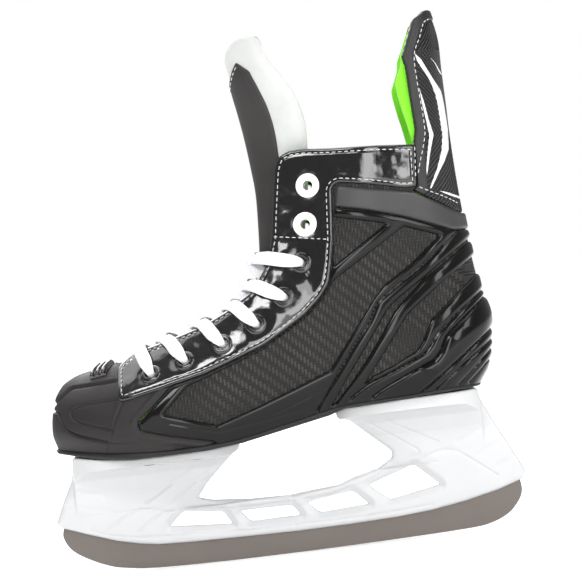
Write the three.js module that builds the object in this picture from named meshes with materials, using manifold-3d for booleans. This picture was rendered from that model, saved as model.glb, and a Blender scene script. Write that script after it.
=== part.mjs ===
// Junior ice hockey skate, left foot: a lasted boot on a moulded holder with a steel runner.
// Millimetres. +X to the toe, +Z up, +Y to the outer (lateral) side of the foot.
import * as THREE from "three";
import { mergeVertices } from "three/addons/utils/BufferGeometryUtils.js";
import Module from "manifold-3d";

const wasm = await Module();
wasm.setup();

// ---------------------------------------------------------------- driving dimensions
const GAP = 0.3; // between neighbouring pieces
const FACET = 0.04; // how far a face may be flattened
const RUNNER_T = 3.0; // steel thickness
const SLOT_T = 3.5; // groove in the holder
const SHELL_T = 1.7; // quarters and toe cap
const SKIN_T = 1.2; // cage, facings and ankle band, laid over the quarters
const COUNTER_T = 1.1; // heel counter, inside the quarters
const LINER_T = 2.8;
const GUARD_T = 2.4;
const GREEN_T = 1.6; // lining of the tendon guard
const GUARD_SPLIT_Z = 226; // level where the tendon guard starts to flex
const TONGUE_SPLIT_Z = 230; // level where the tongue starts to flex
const COVER_T = 1.2;
const FELT_T = 5.5;
const EYELET_HOLE_R = 3.0;
const LACE_W = 7.8;
const LACE_T = 1.2;
const TOE_SKEW = 3.0; // the nose leans this much to the inner side

const BLACK_EYELETS = [[69.4, 111.8], [49.7, 117.1], [27.7, 124.1], [7.6, 133.0], [-9.6, 146.2], [-21.6, 164.3]];
const WHITE_EYELETS = [[-26.6, 185.5], [-30.7, 207.1]];
const FRONT_RIVETS = [[102.9, 21], [77.2, 24.5], [50.3, 23.5]]; // x, y
const REAR_RIVETS = [[-56.5, 20.5], [-86.9, 19]];
const BOLTS = [{ name: "front", x: 92, tab: 33, top: 66.4 }, { name: "rear", x: -98, tab: 34, top: 81.6 }];

// Outer surface of the boot, outer half: one column per station from the back of the heel round
// to the nose, each from the sole edge up to the collar, the throat or the top of the toe.
const BOOT = [
  [[-114.6, 0, 85.4], [-121.5, 0, 97], [-124.2, 0, 115], [-121.5, 0, 140], [-118.2, 0, 168], [-116.2, 0, 197],
    [-115.2, 0, 223]],
  [[-110.5, 14.5, 85.3], [-117, 17.5, 97], [-119, 18.5, 115], [-116.5, 16.5, 140], [-113.5, 15, 168],
    [-111.8, 17, 197], [-111, 18.5, 223.4]],
  [[-98, 24.5, 85], [-102, 29, 97], [-103.5, 30.5, 116], [-101.5, 28.5, 142], [-100, 27, 170],
    [-100.5, 28.5, 198], [-101.5, 29, 224]],
  [[-80, 29.5, 84.4], [-82, 33.5, 97], [-83, 35, 117], [-81.5, 33, 144], [-82, 33.5, 171], [-84.5, 35, 199],
    [-87, 34.5, 226]],
  [[-57, 31, 83.5], [-58, 35, 97], [-59, 36.5, 118], [-60, 36.5, 146], [-62, 38.5, 173], [-66, 38.5, 200],
    [-70, 37, 228.3]],
  [[-33, 31.5, 82.3], [-34, 36, 96.5], [-36, 38.5, 120], [-40, 39, 147], [-45, 39.5, 174], [-49, 37.5, 201],
    [-52, 34.5, 229.8]],
  [[-12, 33, 78.2], [-13, 38, 93], [-16, 40, 117], [-22, 38.5, 146], [-28.5, 34.5, 174], [-32.5, 31, 203],
    [-34, 28.5, 231]],
  [[2, 34.5, 75.6], [2, 40, 91], [-1, 42, 114], [-7, 39, 142], [-13, 33, 170], [-15.5, 27.5, 200],
    [-14.5, 22.5, 231]],
  [[15, 36, 72.9], [15, 41.5, 88], [12, 43.5, 109], [6, 39.5, 134], [-1, 32, 159], [-5, 25.5, 183],
    [-6, 20, 207]],
  [[28, 37.5, 71], [28, 42.5, 85], [25.5, 44.5, 104], [20, 40, 126], [12, 32, 147], [4.5, 24.5, 165.5],
    [-1, 18.5, 180]],
  [[42, 39.5, 69.9], [42, 44, 83], [40, 45.5, 99], [35, 41, 117], [27, 33, 134], [18, 24.5, 148],
    [10, 17.5, 156]],
  [[56, 41, 69.4], [56.5, 45, 81.5], [55, 46, 95.5], [51, 41, 110.5], [44.5, 33, 124.5], [37, 24.5, 136],
    [29, 16.5, 144]],
  [[70, 41, 69.4], [71, 44.8, 80.5], [70.5, 45.5, 93], [67.5, 40, 106], [63, 32, 117.5], [57, 23.5, 127.5],
    [51, 15.5, 135.5]],
  [[84, 39, 70.1], [86, 42.5, 80.5], [86, 42.5, 91.5], [84.5, 37.5, 103], [81.5, 29, 112.5], [77, 20, 121],
    [72, 12, 128.5]],
  [[97, 34, 71.1], [100, 37, 80.5], [100.5, 37, 91], [99.5, 32, 101.5], [97.5, 24, 110], [94.5, 13, 117],
    [91.5, 0, 120]],
  [[109, 26.5, 72.4], [112.5, 29.5, 81], [113, 29, 91], [112.3, 24.5, 100.5], [110.8, 17, 108.5],
    [108.5, 8.5, 114.2], [106, 0, 117.2]],
  [[119.5, 17.5, 73.8], [123, 19.5, 82], [123.3, 18.5, 91], [122.3, 15, 99.5], [120.5, 10, 106.3],
    [117.5, 4.8, 111.8], [114, 0, 115.3]],
  [[127, 8.5, 75], [129.8, 9.5, 82.5], [129.6, 9, 91], [128.2, 7.2, 98.5], [126.5, 4.8, 104.3],
    [123.5, 2.3, 109], [120, 0, 112.6]],
  [[129.6, 0, 75.7], [131.2, 0, 83], [130.8, 0, 91], [129.2, 0, 98.3], [127.6, 0, 103.8], [125.2, 0, 107.8],
    [122.5, 0, 111]],
];

// Rows that carry the back of the boot on up into the tendon guard.
const GUARD_TOP = [
  [[-115.1, 0, 245], [-114.9, 0, 265], [-114.9, 0, 283], [-111.8, 0, 300]],
  [[-111.2, 17, 245], [-111.3, 16, 265], [-111.5, 14.5, 283], [-109.2, 12, 300]],
  [[-103, 26.5, 245], [-103.5, 25, 265], [-104, 22.5, 283], [-103, 18.5, 300]],
  [[-90, 31, 245], [-90, 29.5, 265], [-91, 27, 283], [-92, 23.5, 300]],
];
const GUARD = GUARD_TOP.map((rows, i) => [...BOOT[i].slice(4), ...rows]);

// Tongue: centre line of its front face from the throat up, with half width and edge set-back.
const TONGUE = [
  [84, 116.5, 10, 2.5], [76, 120.5, 15, 5], [62, 124.8, 18.5, 8], [46, 129.7, 20.5, 11], [32, 134.8, 21.5, 13],
  [19, 141.7, 21.5, 15], [10.5, 149.5, 21, 17], [5, 159.5, 20.5, 19], [1.8, 171, 20, 21], [0.3, 189, 20, 24],
  [-0.4, 207, 20.5, 27], [0.5, 221, 21, 30], [2.2, 238, 24, 32.5], [4.1, 251.7, 26.5, 31.5], [6.2, 264, 27, 27.5],
  [8, 275, 25.5, 23.5], [8.4, 285, 21.5, 17], [5, 292.5, 15, 9.5], [-1, 297.5, 6, 2],
];

// ---------------------------------------------------------------- side-view outlines (x, z)
const FACING_EDGE = [
  [-92.4, 222.6], [-73.3, 224.6], [-56.6, 225.6], [-45.4, 226.4], [-30, 228.2], [-22, 228], [-16.1, 225.4],
  [-13.2, 218.6], [-9, 192.6], [-7, 179.6], [-2.1, 165.3], [7.6, 151.5], [22.4, 142.4], [39.2, 134.8],
  [61.1, 129], [79.7, 124.5], [86, 120.5], [88.9, 116.2], [89.4, 99.3],
];
const FACING_LOWER = [
  [84.2, 99.4], [62, 104], [39.8, 108.9], [18.9, 116.1], [5.2, 120.8], [-7, 127.5], [-19.8, 135.1],
  [-30.1, 144], [-35.6, 151.4], [-38.3, 161.2], [-41, 175], [-43.6, 204], [-46.9, 206.7], [-63.7, 203.7],
  [-83.4, 199.3], [-91, 199.2],
];
const BAND = [
  [-44.2, 193.6], [-61.9, 189.4], [-81.4, 183.6], [-100.7, 176.2], [-109, 172.8], [-130, 172.8], [-130, 182],
  [-114.6, 182], [-89.1, 196.6], [-46.7, 204.8],
];
const TOE_SEAM = [[36, 60], [38.9, 71], [63.2, 77], [78.7, 82.1], [79.8, 86.4], [61.1, 102.8], [55, 110], [58, 129.6]];
const CAGE = [
  [-43.9, 193.2], [-61.9, 189], [-81.4, 183.2], [-100.7, 175.8], [-109, 172.4], [-135, 172.4], [-135, 60],
  [35.4, 60], [38.4, 71.4], [62.8, 77.5], [78, 82.4], [79, 86.1], [60.5, 102.5], [58, 104.4], [39.7, 108.5],
  [18.8, 115.7], [5, 120.4], [-7.2, 127.1], [-20.1, 134.8], [-30.5, 143.7], [-36, 151.3], [-38.8, 161.1],
  [-41.5, 175],
];
const PANELS = [
  [[50, 103.5], [64.9, 89.6], [35.9, 79.9], [9.8, 88.2], [-30.3, 102.6], [-59.7, 139.4], [-66.6, 146.7],
    [-83, 156.8], [-100.8, 170.7], [-81, 177.9], [-38.5, 152.5], [-31.8, 143], [-20.8, 133.6], [5, 118.8],
    [39.4, 106.9]],
  [[-45, 186.7], [-71.4, 180.6], [-41.5, 161.5]],
  [[-110, 151.2], [-77, 128.3], [-48.6, 92.3], [-67.2, 101.4], [-80.3, 107.8], [-90.1, 123.9], [-110, 139.5]],
];
const GUARD_EDGE = [
  [-130, 181.6], [-114.7, 182.7], [-89.2, 197.4], [-91.8, 199.8], [-93, 223.9], [-94.8, 231.7], [-94, 250],
  [-93.5, 267.8], [-92.2, 273.5], [-94.9, 279.8], [-101, 294.2], [-105, 296.4], [-108.6, 299.2], [-112, 299.4],
  [-130, 299.4],
];
const LINER_EDGE = [
  [-130, 88.6], [-95, 88.8], [-57, 87.4], [-33, 85.2], [-12, 81.4], [2, 78.8], [15, 76.2], [28, 74.4], [56, 72.8],
  [80, 73.6], [80, 100], [62, 108], [40, 114], [20, 121.5], [-5, 135], [-20, 147], [-29, 160], [-36.5, 178],
  [-40.5, 205], [-41, 221], [-130, 220.6],
];
const RUNNER_EDGE = [
  [131.8, 29.6], [132.9, 25.4], [130.5, 19], [125.6, 14], [117.3, 9.1], [110, 5.8], [101.4, 3.3], [81.8, 0.9],
  [38.7, 0], [-1.1, 0], [-49.2, 0.5], [-97.4, 1.8], [-112, 3.4], [-123.1, 7.9], [-129.7, 14.7],
  [-132.1, 20.2], [-131.7, 26],
];
const RUNNER_TOP = [
  [-118.7, 26.6], [-107, 24], [-104.5, 34], [-91.5, 34], [-88.5, 20.5], [-79.5, 19], [-60.2, 17.6],
  [-31.3, 16.9], [-2.6, 16.6], [26, 17], [59, 17.7], [78.9, 18.6], [83, 21], [85.5, 33], [98.5, 33],
  [101, 24], [118.5, 28.4],
];
const HOLDER = [
  [132.2, 29.8], [118.5, 24.6], [102.6, 19], [89.7, 15.9], [78.9, 14.2], [59, 13.3], [26, 12.6], [-2.6, 12.2],
  [-31.3, 12.5], [-60.2, 13.4], [-79.5, 14.9], [-99, 17.8], [-118.7, 22.1], [-131.7, 26.3], [-134, 27.1],
  [-135.4, 31], [-131.2, 39.9], [-125.5, 51.6], [-119.7, 63.3], [-113.5, 77], [-113.2, 81.6], [-75.3, 81.4],
  [-36.6, 79.9], [-30.9, 77.9], [-31.4, 74], [-38, 72.4], [-47, 63.6], [-60.3, 51.5], [-60.2, 47.6],
  [-52.2, 42.7], [-34.4, 38.2], [-28.5, 35.7], [1.4, 33.2], [23.4, 33.7], [45.2, 35.8], [53, 38], [47.3, 45.5],
  [29.9, 61.8], [25.8, 64], [26.4, 67.2], [44, 66], [65, 65.8], [85.9, 65.8], [106.7, 67.7], [121.5, 69.8],
  [122.3, 66.5], [123.8, 56.8], [128.8, 47.5], [135.2, 33.8], [134.9, 31.7],
];
const WINDOWS = [
  [[62.5, 31.4], [39.8, 28.6], [35, 20.6], [71.5, 23.5]],
  [[30.4, 27.8], [0, 27.4], [-4.4, 21], [25, 20.9]],
  [[-8.6, 27.9], [-35.4, 31.5], [-44.2, 22.5], [-15.4, 21.1]],
  [[-44.8, 33.6], [-72, 42.3], [-86, 28.8], [-56, 23.6]],
];
const FLANGE_PLAN = [
  [[123, 6], [120, 14], [112, 22], [100, 27.5], [82, 30], [58, 30], [40, 27.5], [30, 20], [24, 8]],
  [[-29, 8], [-33, 18], [-42, 23.5], [-60, 26], [-85, 25.5], [-100, 22], [-110, 15], [-114, 8]],
];

// ---------------------------------------------------------------- helpers
const V = (x, y, z) => new THREE.Vector3(x, y, z);
const skew = (x) => -TOE_SKEW * THREE.MathUtils.smoothstep(x, 45, 128);

function spline(a, b, c, d, t) {
  return 0.5 * (2 * b + (c - a) * t + (2 * a - 5 * b + 4 * c - d) * t * t + (3 * b - a - 3 * c + d) * t * t * t);
}

// Point of a net at column u and row v. Negative u is the inner half of the boot.
function netPoint(net, u, v) {
  const side = u < 0 ? -1 : 1;
  const n = net.length - 1;
  const m = net[0].length - 1;
  const cu = Math.abs(u);
  const i = Math.min(Math.floor(cu), n - 1);
  const j = Math.min(Math.max(Math.floor(v), 0), m - 1);
  const open = net[n][0][1] !== 0;
  const column = (p, q, k) => {
    if (p < 0) return net[-p][q][k] * (k === 1 ? -1 : 1);
    if (p <= n) return net[p][q][k];
    return open ? 2 * net[n][q][k] - net[2 * n - p][q][k] : net[2 * n - p][q][k] * (k === 1 ? -1 : 1);
  };
  const at = (p, q, k) => {
    if (q < 0) return 2 * column(p, 0, k) - column(p, 1, k);
    return q > m ? 2 * column(p, m, k) - column(p, m - 1, k) : column(p, q, k);
  };
  const out = [0, 1, 2].map((k) => {
    const row = [-1, 0, 1, 2].map((q) =>
      spline(at(i - 1, j + q, k), at(i, j + q, k), at(i + 1, j + q, k), at(i + 2, j + q, k), cu - i));
    return spline(...row, v - j);
  });
  return V(out[0], out[1] * side, out[2]);
}

function netNormal(net, u, v) {
  const e = 0.02;
  const side = u < 0 ? -1 : 1;
  const du = netPoint(net, u + e * side, v).sub(netPoint(net, u - e * side || 1e-9, v));
  const dv = netPoint(net, u, v + e).sub(netPoint(net, u, v - e));
  const nrm = dv.cross(du).normalize();
  return side < 0 ? nrm.negate() : nrm;
}

function orient(geometry) {
  const p = geometry.attributes.position;
  const ix = geometry.index.array;
  let volume = 0;
  const [a, b, c] = [V(), V(), V()];
  for (let k = 0; k < ix.length; k += 3) {
    a.fromBufferAttribute(p, ix[k]);
    b.fromBufferAttribute(p, ix[k + 1]);
    c.fromBufferAttribute(p, ix[k + 2]);
    volume += a.dot(b.cross(c));
  }
  if (volume < 0) for (let k = 0; k < ix.length; k += 3) [ix[k], ix[k + 1]] = [ix[k + 1], ix[k]];
  return geometry;
}

function indexed(points, faces) {
  const g = new THREE.BufferGeometry();
  g.setAttribute("position", new THREE.Float32BufferAttribute(points.flatMap((p) => [p.x, p.y, p.z]), 3));
  g.setIndex(faces);
  return g;
}

// Closed sheet between two grids of points: outer[i][j] and inner[i][j].
function sheet(outer, inner) {
  const n = outer.length;
  const m = outer[0].length;
  const id = (s, i, j) => s * n * m + i * m + j;
  const faces = [];
  const quad = (a, b, c, d) => faces.push(a, b, c, a, c, d);
  for (let i = 0; i < n - 1; i++)
    for (let j = 0; j < m - 1; j++) {
      quad(id(0, i, j), id(0, i + 1, j), id(0, i + 1, j + 1), id(0, i, j + 1));
      quad(id(1, i, j), id(1, i, j + 1), id(1, i + 1, j + 1), id(1, i + 1, j));
    }
  for (let i = 0; i < n - 1; i++) {
    quad(id(0, i + 1, 0), id(0, i, 0), id(1, i, 0), id(1, i + 1, 0));
    quad(id(0, i, m - 1), id(0, i + 1, m - 1), id(1, i + 1, m - 1), id(1, i, m - 1));
  }
  for (let j = 0; j < m - 1; j++) {
    quad(id(0, 0, j), id(0, 0, j + 1), id(1, 0, j + 1), id(1, 0, j));
    quad(id(0, n - 1, j + 1), id(0, n - 1, j), id(1, n - 1, j), id(1, n - 1, j + 1));
  }
  return orient(indexed([...outer.flat(), ...inner.flat()], faces));
}

const range = (a, b, n) => Array.from({ length: n + 1 }, (_, k) => a + ((b - a) * k) / n);

// Layer of a net between two offsets from its outer surface.
function layer(net, us, vs, low, high) {
  const grid = (d) => us.map((u) => vs.map((v) => netPoint(net, u, v).addScaledVector(netNormal(net, u, v), d)));
  return toManifold(sheet(grid(high), grid(low)));
}

function toManifold(geometry) {
  const g = geometry.clone();
  g.deleteAttribute("normal");
  g.deleteAttribute("uv");
  const m = mergeVertices(g, 1e-5);
  return new wasm.Manifold(new wasm.Mesh({
    numProp: 3,
    vertProperties: new Float32Array(m.attributes.position.array),
    triVerts: new Uint32Array(m.index.array),
  }));
}

function toGeometry(solid) {
  const mesh = solid.getMesh();
  const g = new THREE.BufferGeometry();
  const xyz = new Float32Array(mesh.numVert * 3);
  for (let i = 0; i < mesh.numVert; i++)
    for (let k = 0; k < 3; k++) xyz[3 * i + k] = mesh.vertProperties[i * mesh.numProp + k];
  g.setAttribute("position", new THREE.BufferAttribute(xyz, 3));
  g.setIndex(new THREE.BufferAttribute(new Uint32Array(mesh.triVerts), 1));
  return g;
}

// Side-view outline (x, z) swept along Y.
function slab(outline, y0, y1, holes = []) {
  const shape = new THREE.Shape(outline.map(([x, z]) => new THREE.Vector2(x, z)));
  shape.holes = holes.map((h) => new THREE.Path(h.map(([x, z]) => new THREE.Vector2(x, z))));
  const g = new THREE.ExtrudeGeometry(shape, { depth: y1 - y0, bevelEnabled: false });
  g.rotateX(Math.PI / 2).translate(0, y1, 0);
  return toManifold(g);
}

// Plan outline (x, y) swept along Z.
function plate(outline, z0, z1) {
  const shape = new THREE.Shape(outline.map(([x, y]) => new THREE.Vector2(x, y)));
  const g = new THREE.ExtrudeGeometry(shape, { depth: z1 - z0, bevelEnabled: false });
  return toManifold(g.translate(0, 0, z0));
}

// End-view outline (y, z) swept along X.
function bar(outline, x0, x1) {
  const shape = new THREE.Shape(outline.map(([y, z]) => new THREE.Vector2(y, z)));
  const g = new THREE.ExtrudeGeometry(shape, { depth: x1 - x0, bevelEnabled: false });
  g.applyMatrix4(new THREE.Matrix4().makeBasis(V(0, 1, 0), V(0, 0, 1), V(1, 0, 0)));
  return toManifold(g.translate(x0, 0, 0));
}

const rod = (x, y, z0, z1, r, n = 20) => {
  const g = new THREE.CylinderGeometry(r, r, z1 - z0, n);
  return toManifold(g.rotateX(Math.PI / 2).translate(x, y, (z0 + z1) / 2));
};

const both = (solid) => [solid, solid.mirror([0, 1, 0])];

const group = new THREE.Group();
group.name = "hockey_skate";
const LOOKS = {
  steel: [0xa8a7a2, 0.35, 0.9], darkSteel: [0x55534e, 0.45, 0.9], holder: [0xeceef0, 0.4, 0],
  sole: [0x1d1d1f, 0.5, 0], cap: [0x232325, 0.6, 0], weave: [0x2a2a2c, 0.4, 0], cage: [0x151517, 0.2, 0],
  band: [0x2b2b2d, 0.6, 0], patent: [0x3a3a3c, 0.15, 0], white: [0xf0f0ee, 0.4, 0], gloss: [0x101010, 0.2, 0],
  board: [0xb9a98a, 0.8, 0], foam: [0x3a3a3a, 0.9, 0], green: [0x5ad61a, 0.8, 0], felt: [0xf2f2f2, 0.95, 0],
  guard: [0x202022, 0.4, 0], lace: [0xf6f6f6, 0.8, 0], clear: [0xd8d8d8, 0.3, 0],
};

function add(name, solid, look) {
  const g = toGeometry(solid.simplify(FACET));
  const [color, roughness, metalness] = LOOKS[look];
  const mesh = new THREE.Mesh(g, new THREE.MeshStandardMaterial({ color, roughness, metalness }));
  mesh.name = name;
  group.add(mesh);
}

// Moves every point of a boot piece sideways by the lean of the last.
function leaned(solid) {
  return solid.warp((p) => {
    p[1] += skew(p[0]);
  });
}

// ---------------------------------------------------------------- eyelets
// Place where the outer surface of the boot lies at a side-view point (x, z).
function onBoot(x, z) {
  let best = { d: Infinity };
  const scan = (u0, u1, v0, v1, n) => {
    for (const u of range(u0, u1, n))
      for (const v of range(v0, v1, n)) {
        const p = netPoint(BOOT, u, v);
        const d = Math.hypot(p.x - x, p.z - z);
        if (d < best.d) best = { d, u, v, p };
      }
  };
  scan(3, 15, 0, 6, 60);
  for (const w of [0.25, 0.05, 0.01]) scan(best.u - w, best.u + w, Math.max(0, best.v - w), best.v + w, 12);
  return { u: best.u, v: best.v, p: best.p, n: netNormal(BOOT, best.u, best.v) };
}

const EYELETS = [...BLACK_EYELETS, ...WHITE_EYELETS].map(([x, z], k) => ({ ...onBoot(x, z), white: k >= 6 }));

const placed = (geometry, at) => {
  const q = new THREE.Quaternion().setFromUnitVectors(V(0, 1, 0), at.n);
  return geometry.clone().applyQuaternion(q).translate(at.p.x, at.p.y, at.p.z);
};

function eyeletProfile(r) {
  const out = SKIN_T + GAP * 2 + (r - 6) * 0.7;
  const back = -SHELL_T - GAP * 3.5;
  const barrel = EYELET_HOLE_R - 0.15;
  return [
    [2.4, back - 0.9], [4.6, back - 0.9], [4.6, back], [barrel, back], [barrel, out], [r, out], [r - 0.8, out + 1],
    [2.4, out + 1],
  ];
}

const eyeletSolid = (at) => {
  const profile = eyeletProfile(at.white ? 7.4 : 6.3).map(([r, h]) => new THREE.Vector2(r, h));
  const g = new THREE.LatheGeometry([...profile, profile[0]], 10);
  return toManifold(orient(mergeVertices(placed(stripped(g), at), 1e-4)));
};

function stripped(g) {
  g.deleteAttribute("normal");
  g.deleteAttribute("uv");
  return mergeVertices(g, 1e-5);
}

const eyeletHoles = EYELETS.map((at) =>
  toManifold(placed(new THREE.CylinderGeometry(EYELET_HOLE_R + 0.1, EYELET_HOLE_R + 0.1, 12, 12), at)));
const drilled = (solid) => eyeletHoles.reduce((s, h) => s.subtract(h), solid);

// ---------------------------------------------------------------- runner, bolts and holder
const FOOT_Z = 24.3; // underside of the hook at the foot of a holder bolt
const notch = (x, z1, g) => [
  [x - 2 - g, z1], [x - 2 - g, FOOT_Z + 4 + g], [x - 3.7 - g, FOOT_Z + 4 + g], [x - 3.7 - g, FOOT_Z - g],
  [x + 3.7 + g, FOOT_Z - g], [x + 3.7 + g, FOOT_Z + 4 + g], [x + 2 + g, FOOT_Z + 4 + g], [x + 2 + g, z1],
];
let runner = slab([...RUNNER_EDGE, ...RUNNER_TOP], -RUNNER_T / 2, RUNNER_T / 2);
for (const b of BOLTS) runner = runner.subtract(slab(notch(b.x, 40, GAP), -5, 5));
add("runner", runner, "steel");

const groove = slab(
  [[-140, 0], [-140, 26.6], [-132.2, 27], ...widened(RUNNER_TOP, GAP), [132.4, 30.2], [140, 30], [140, 0]],
  -SLOT_T / 2, SLOT_T / 2,
);

function widened(line, g) {
  return line.map(([x, z]) => {
    const tab = BOLTS.find((b) => Math.abs(x - b.x) < 12 && z > 19);
    return [tab ? x + Math.sign(x - tab.x) * g : x, z + g];
  });
}

const wing = (flange, half) => {
  const side = [[4.3, flange - 70], [4.6, flange - 42], [5.2, flange - 28], [7.2, flange - 15], [11.5, flange - 7],
    [19, flange - 2], [half, flange + 0.4], [half, flange + 12]];
  return [...side, ...side.map(([y, z]) => [-y, z]).reverse()];
};
const mirrored = (half) => [...half, ...half.map(([x, y]) => [x, -y]).reverse()];
const upper = (plan, z) => plate(mirrored(plan), z, 90);
let holder = slab(HOLDER, -31, 31, WINDOWS)
  .intersect(bar(wing(62.6, 30.5), 0, 140).add(bar(wing(76, 26.5), -140, 0.01)))
  .intersect(plate([[-140, -5.2], [140, -5.2], [140, 5.2], [-140, 5.2]], 0, 90)
    .add(upper(FLANGE_PLAN[0], 36)).add(upper(FLANGE_PLAN[1], 48)))
  .subtract(groove);
for (const b of BOLTS) {
  holder = holder.subtract(rod(b.x, 0, 28, 90, 3.2)).subtract(rod(b.x, 0, b.top - 8.6, 90, 6.3));
  const foot = slab(notch(b.x, b.tab + 2, 0), -1.35, 1.35);
  add(`bolt_${b.name}`, foot.add(rod(b.x, 0, b.tab + 0.8, b.top - 1.2, 2.6, 16)), "darkSteel");
  const nut = rod(b.x, 0, b.top - 8.3, b.top - 3.2, 5.6, 6).subtract(rod(b.x, 0, 0, 90, 2.85, 16));
  add(`nut_${b.name}`, nut, "darkSteel");
}
const RIVETS = [
  ...FRONT_RIVETS.map(([x, y]) => ({ x, y, low: 62.2, name: "front" })),
  ...REAR_RIVETS.map(([x, y]) => ({ x, y, low: 75.6, name: "rear" })),
].flatMap((r) => [{ ...r, side: "left" }, { ...r, y: -r.y, side: "right" }]);

// ---------------------------------------------------------------- sole, insole board and footbed
const SOLE_BOTTOM = [[-114.6, 82.9], [-75.3, 81.9], [-36.6, 80.4], [-27.3, 77.2], [0, 72.2], [22.9, 68], [44, 66.3],
  [85.9, 66.1], [106.7, 68.1], [124, 71.6], [131, 73]];
const lineZ = (line, x) => {
  const k = Math.max(1, line.findIndex(([px]) => px >= x));
  const [[x0, z0], [x1, z1]] = [line[k - 1], line[k]];
  return z0 + ((z1 - z0) * (x - x0)) / (x1 - x0);
};

// Foot-shaped board: stations along the sole edge, set in by `inset` and bounded by two heights above it.
function board(stations, inset, low, high, yScale = 1) {
  const grid = (dz) => stations.map((u) => {
    const p = netPoint(BOOT, u, 0);
    const n = netNormal(BOOT, u, 0);
    const flat = V(n.x, n.y, 0).normalize();
    const x = p.x - flat.x * inset;
    const y = Math.max(p.y - flat.y * inset, 0.4) * yScale;
    return [V(x, -y, dz(x, p.z)), V(x, y, dz(x, p.z))];
  });
  return toManifold(sheet(grid(high), grid(low)));
}
const stations = [0.25, 0.6, 1.2, 2, 3, 4, 4.85, 5.27, ...range(6, 13, 7), 13.8, 14.6, 15.3, 16, 16.6, 17.1, 17.6];
const TOP_OF_SOLE = -1;
const outsole = board(stations, -0.6, (x) => lineZ(SOLE_BOTTOM, x), (x, z) => z + TOP_OF_SOLE);
const insole = board(stations, 4, (x, z) => z + 0.1, (x, z) => z + 1.6);
const bed = board([0.5, ...range(1, 16.5, 16)], 9, (x, z) => z + 3.6, (x, z) => z + 7.2);
let soleHoled = leaned(outsole);
let boardHoled = leaned(insole);
for (const b of BOLTS) {
  soleHoled = soleHoled.subtract(rod(b.x, 0, 40, 120, 7));
  boardHoled = boardHoled.subtract(rod(b.x, 0, 40, 120, 7));
}
for (const r of RIVETS) {
  const hole = rod(r.x, r.y, 40, 120, 2.4, 8);
  soleHoled = soleHoled.subtract(hole);
  boardHoled = boardHoled.subtract(hole);
  holder = holder.subtract(hole).subtract(rod(r.x, r.y, 40, r.low + 0.6, 4.3, 8));
}
add("blade_holder", holder, "holder");
add("outsole", soleHoled, "sole");
add("insole_board", boardHoled, "board");
add("footbed", leaned(bed), "foam");
RIVETS.forEach((r) => {
  const k = r.name === "front" ? FRONT_RIVETS.findIndex(([x]) => x === r.x) : REAR_RIVETS.findIndex(([x]) => x === r.x);
  const top = boardTop(r.x);
  const solid = rod(r.x, r.y, r.low - 0.9, r.low + 0.3, 3.8, 8).add(rod(r.x, r.y, r.low, top + 0.6, 2, 8))
    .add(rod(r.x, r.y, top + 0.4, top + 1.4, 3.6, 8));
  add(`rivet_${r.name}_${k + 1}_${r.side}`, solid, "darkSteel");
});

function boardTop(x) {
  let best = [Infinity, 0];
  for (const u of range(0, 18, 180)) {
    const p = netPoint(BOOT, u, 0);
    if (Math.abs(p.x - x) < best[0]) best = [Math.abs(p.x - x), p.z];
  }
  return best[1] + 1.9;
}

// ---------------------------------------------------------------- boot
// All layers of the boot share one lattice of columns and rows, so that they stay parallel.
const COLUMN = 0.9;
const WRAP_GAP = 0.5; // round the heel, where the halves' facets run the other way
const columns = (a, b) => range(a * COLUMN, b * COLUMN, b - a);
const rows = range(0, 6, 7);
const outerHalf = (line, y0 = 0.15) => slab(line, y0, 70);
const quarterOutline = [
  [-135, 60], ...TOE_SEAM.map(([x, z]) => [x - 0.3, z]), ...FACING_EDGE.slice(1, 14).reverse(), [-92.2, 223],
  [-91, 199.7], [-88.2, 196.8], [-114.7, 182.2], [-135, 181],
];
const quarter = drilled(layer(BOOT, columns(0, 14), rows, -SHELL_T, 0).intersect(outerHalf(quarterOutline)));
const cage = layer(BOOT, columns(0, 15), rows, GAP, GAP + SKIN_T)
  .intersect(slab(CAGE, 0.15, 70, PANELS));
const facing = drilled(layer(BOOT, columns(2, 16), rows.slice(2), GAP, GAP + SKIN_T)
  .intersect(outerHalf([...FACING_EDGE, ...FACING_LOWER])));
for (const [name, solid, look] of [["quarter", quarter, "weave"], ["side_cage", cage, "cage"],
  ["facing", facing, "patent"]]) {
  const [left, right] = both(solid);
  add(`${name}_left`, leaned(left), look);
  add(`${name}_right`, leaned(right), look);
}
const band = layer(BOOT, columns(-7, 7), rows.slice(4), WRAP_GAP, WRAP_GAP + SKIN_T)
  .intersect(slab(BAND, -70, 70));
add("ankle_band", band, "band");
const counterOut = -SHELL_T - WRAP_GAP;
add("heel_counter", layer(BOOT, columns(-5, 5), rows.slice(0, 6), counterOut - COUNTER_T, counterOut), "board");
const linerOut = counterOut - COUNTER_T - GAP;
const liner = layer(BOOT, columns(-14, 14), rows, linerOut - LINER_T, linerOut)
  .intersect(slab(LINER_EDGE, -70, 70));
add("liner", leaned(liner), "green");

// Toe cap: the nose of the net, closed over the top, with its wings running back to the seam.
const capHalf = layer(BOOT, [...columns(9, 19), 18.05], rows, -SHELL_T, 0);
const capOutline = [[150, 60], [150, 150], [93, 150], [90.5, 119.4], [86, 120], [79.5, 124], [61, 128.4],
  [58, 129], [55.4, 110], [61.5, 103.1], [80.3, 86.6], [79.2, 81.7], [63.3, 76.6], [39.3, 70.7], [36.6, 60]];
const capSide = drilled(capHalf.intersect(slab(capOutline, -0.02, 70)));
add("toe_cap", leaned(capSide.add(capSide.mirror([0, 1, 0]))), "cap");

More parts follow.
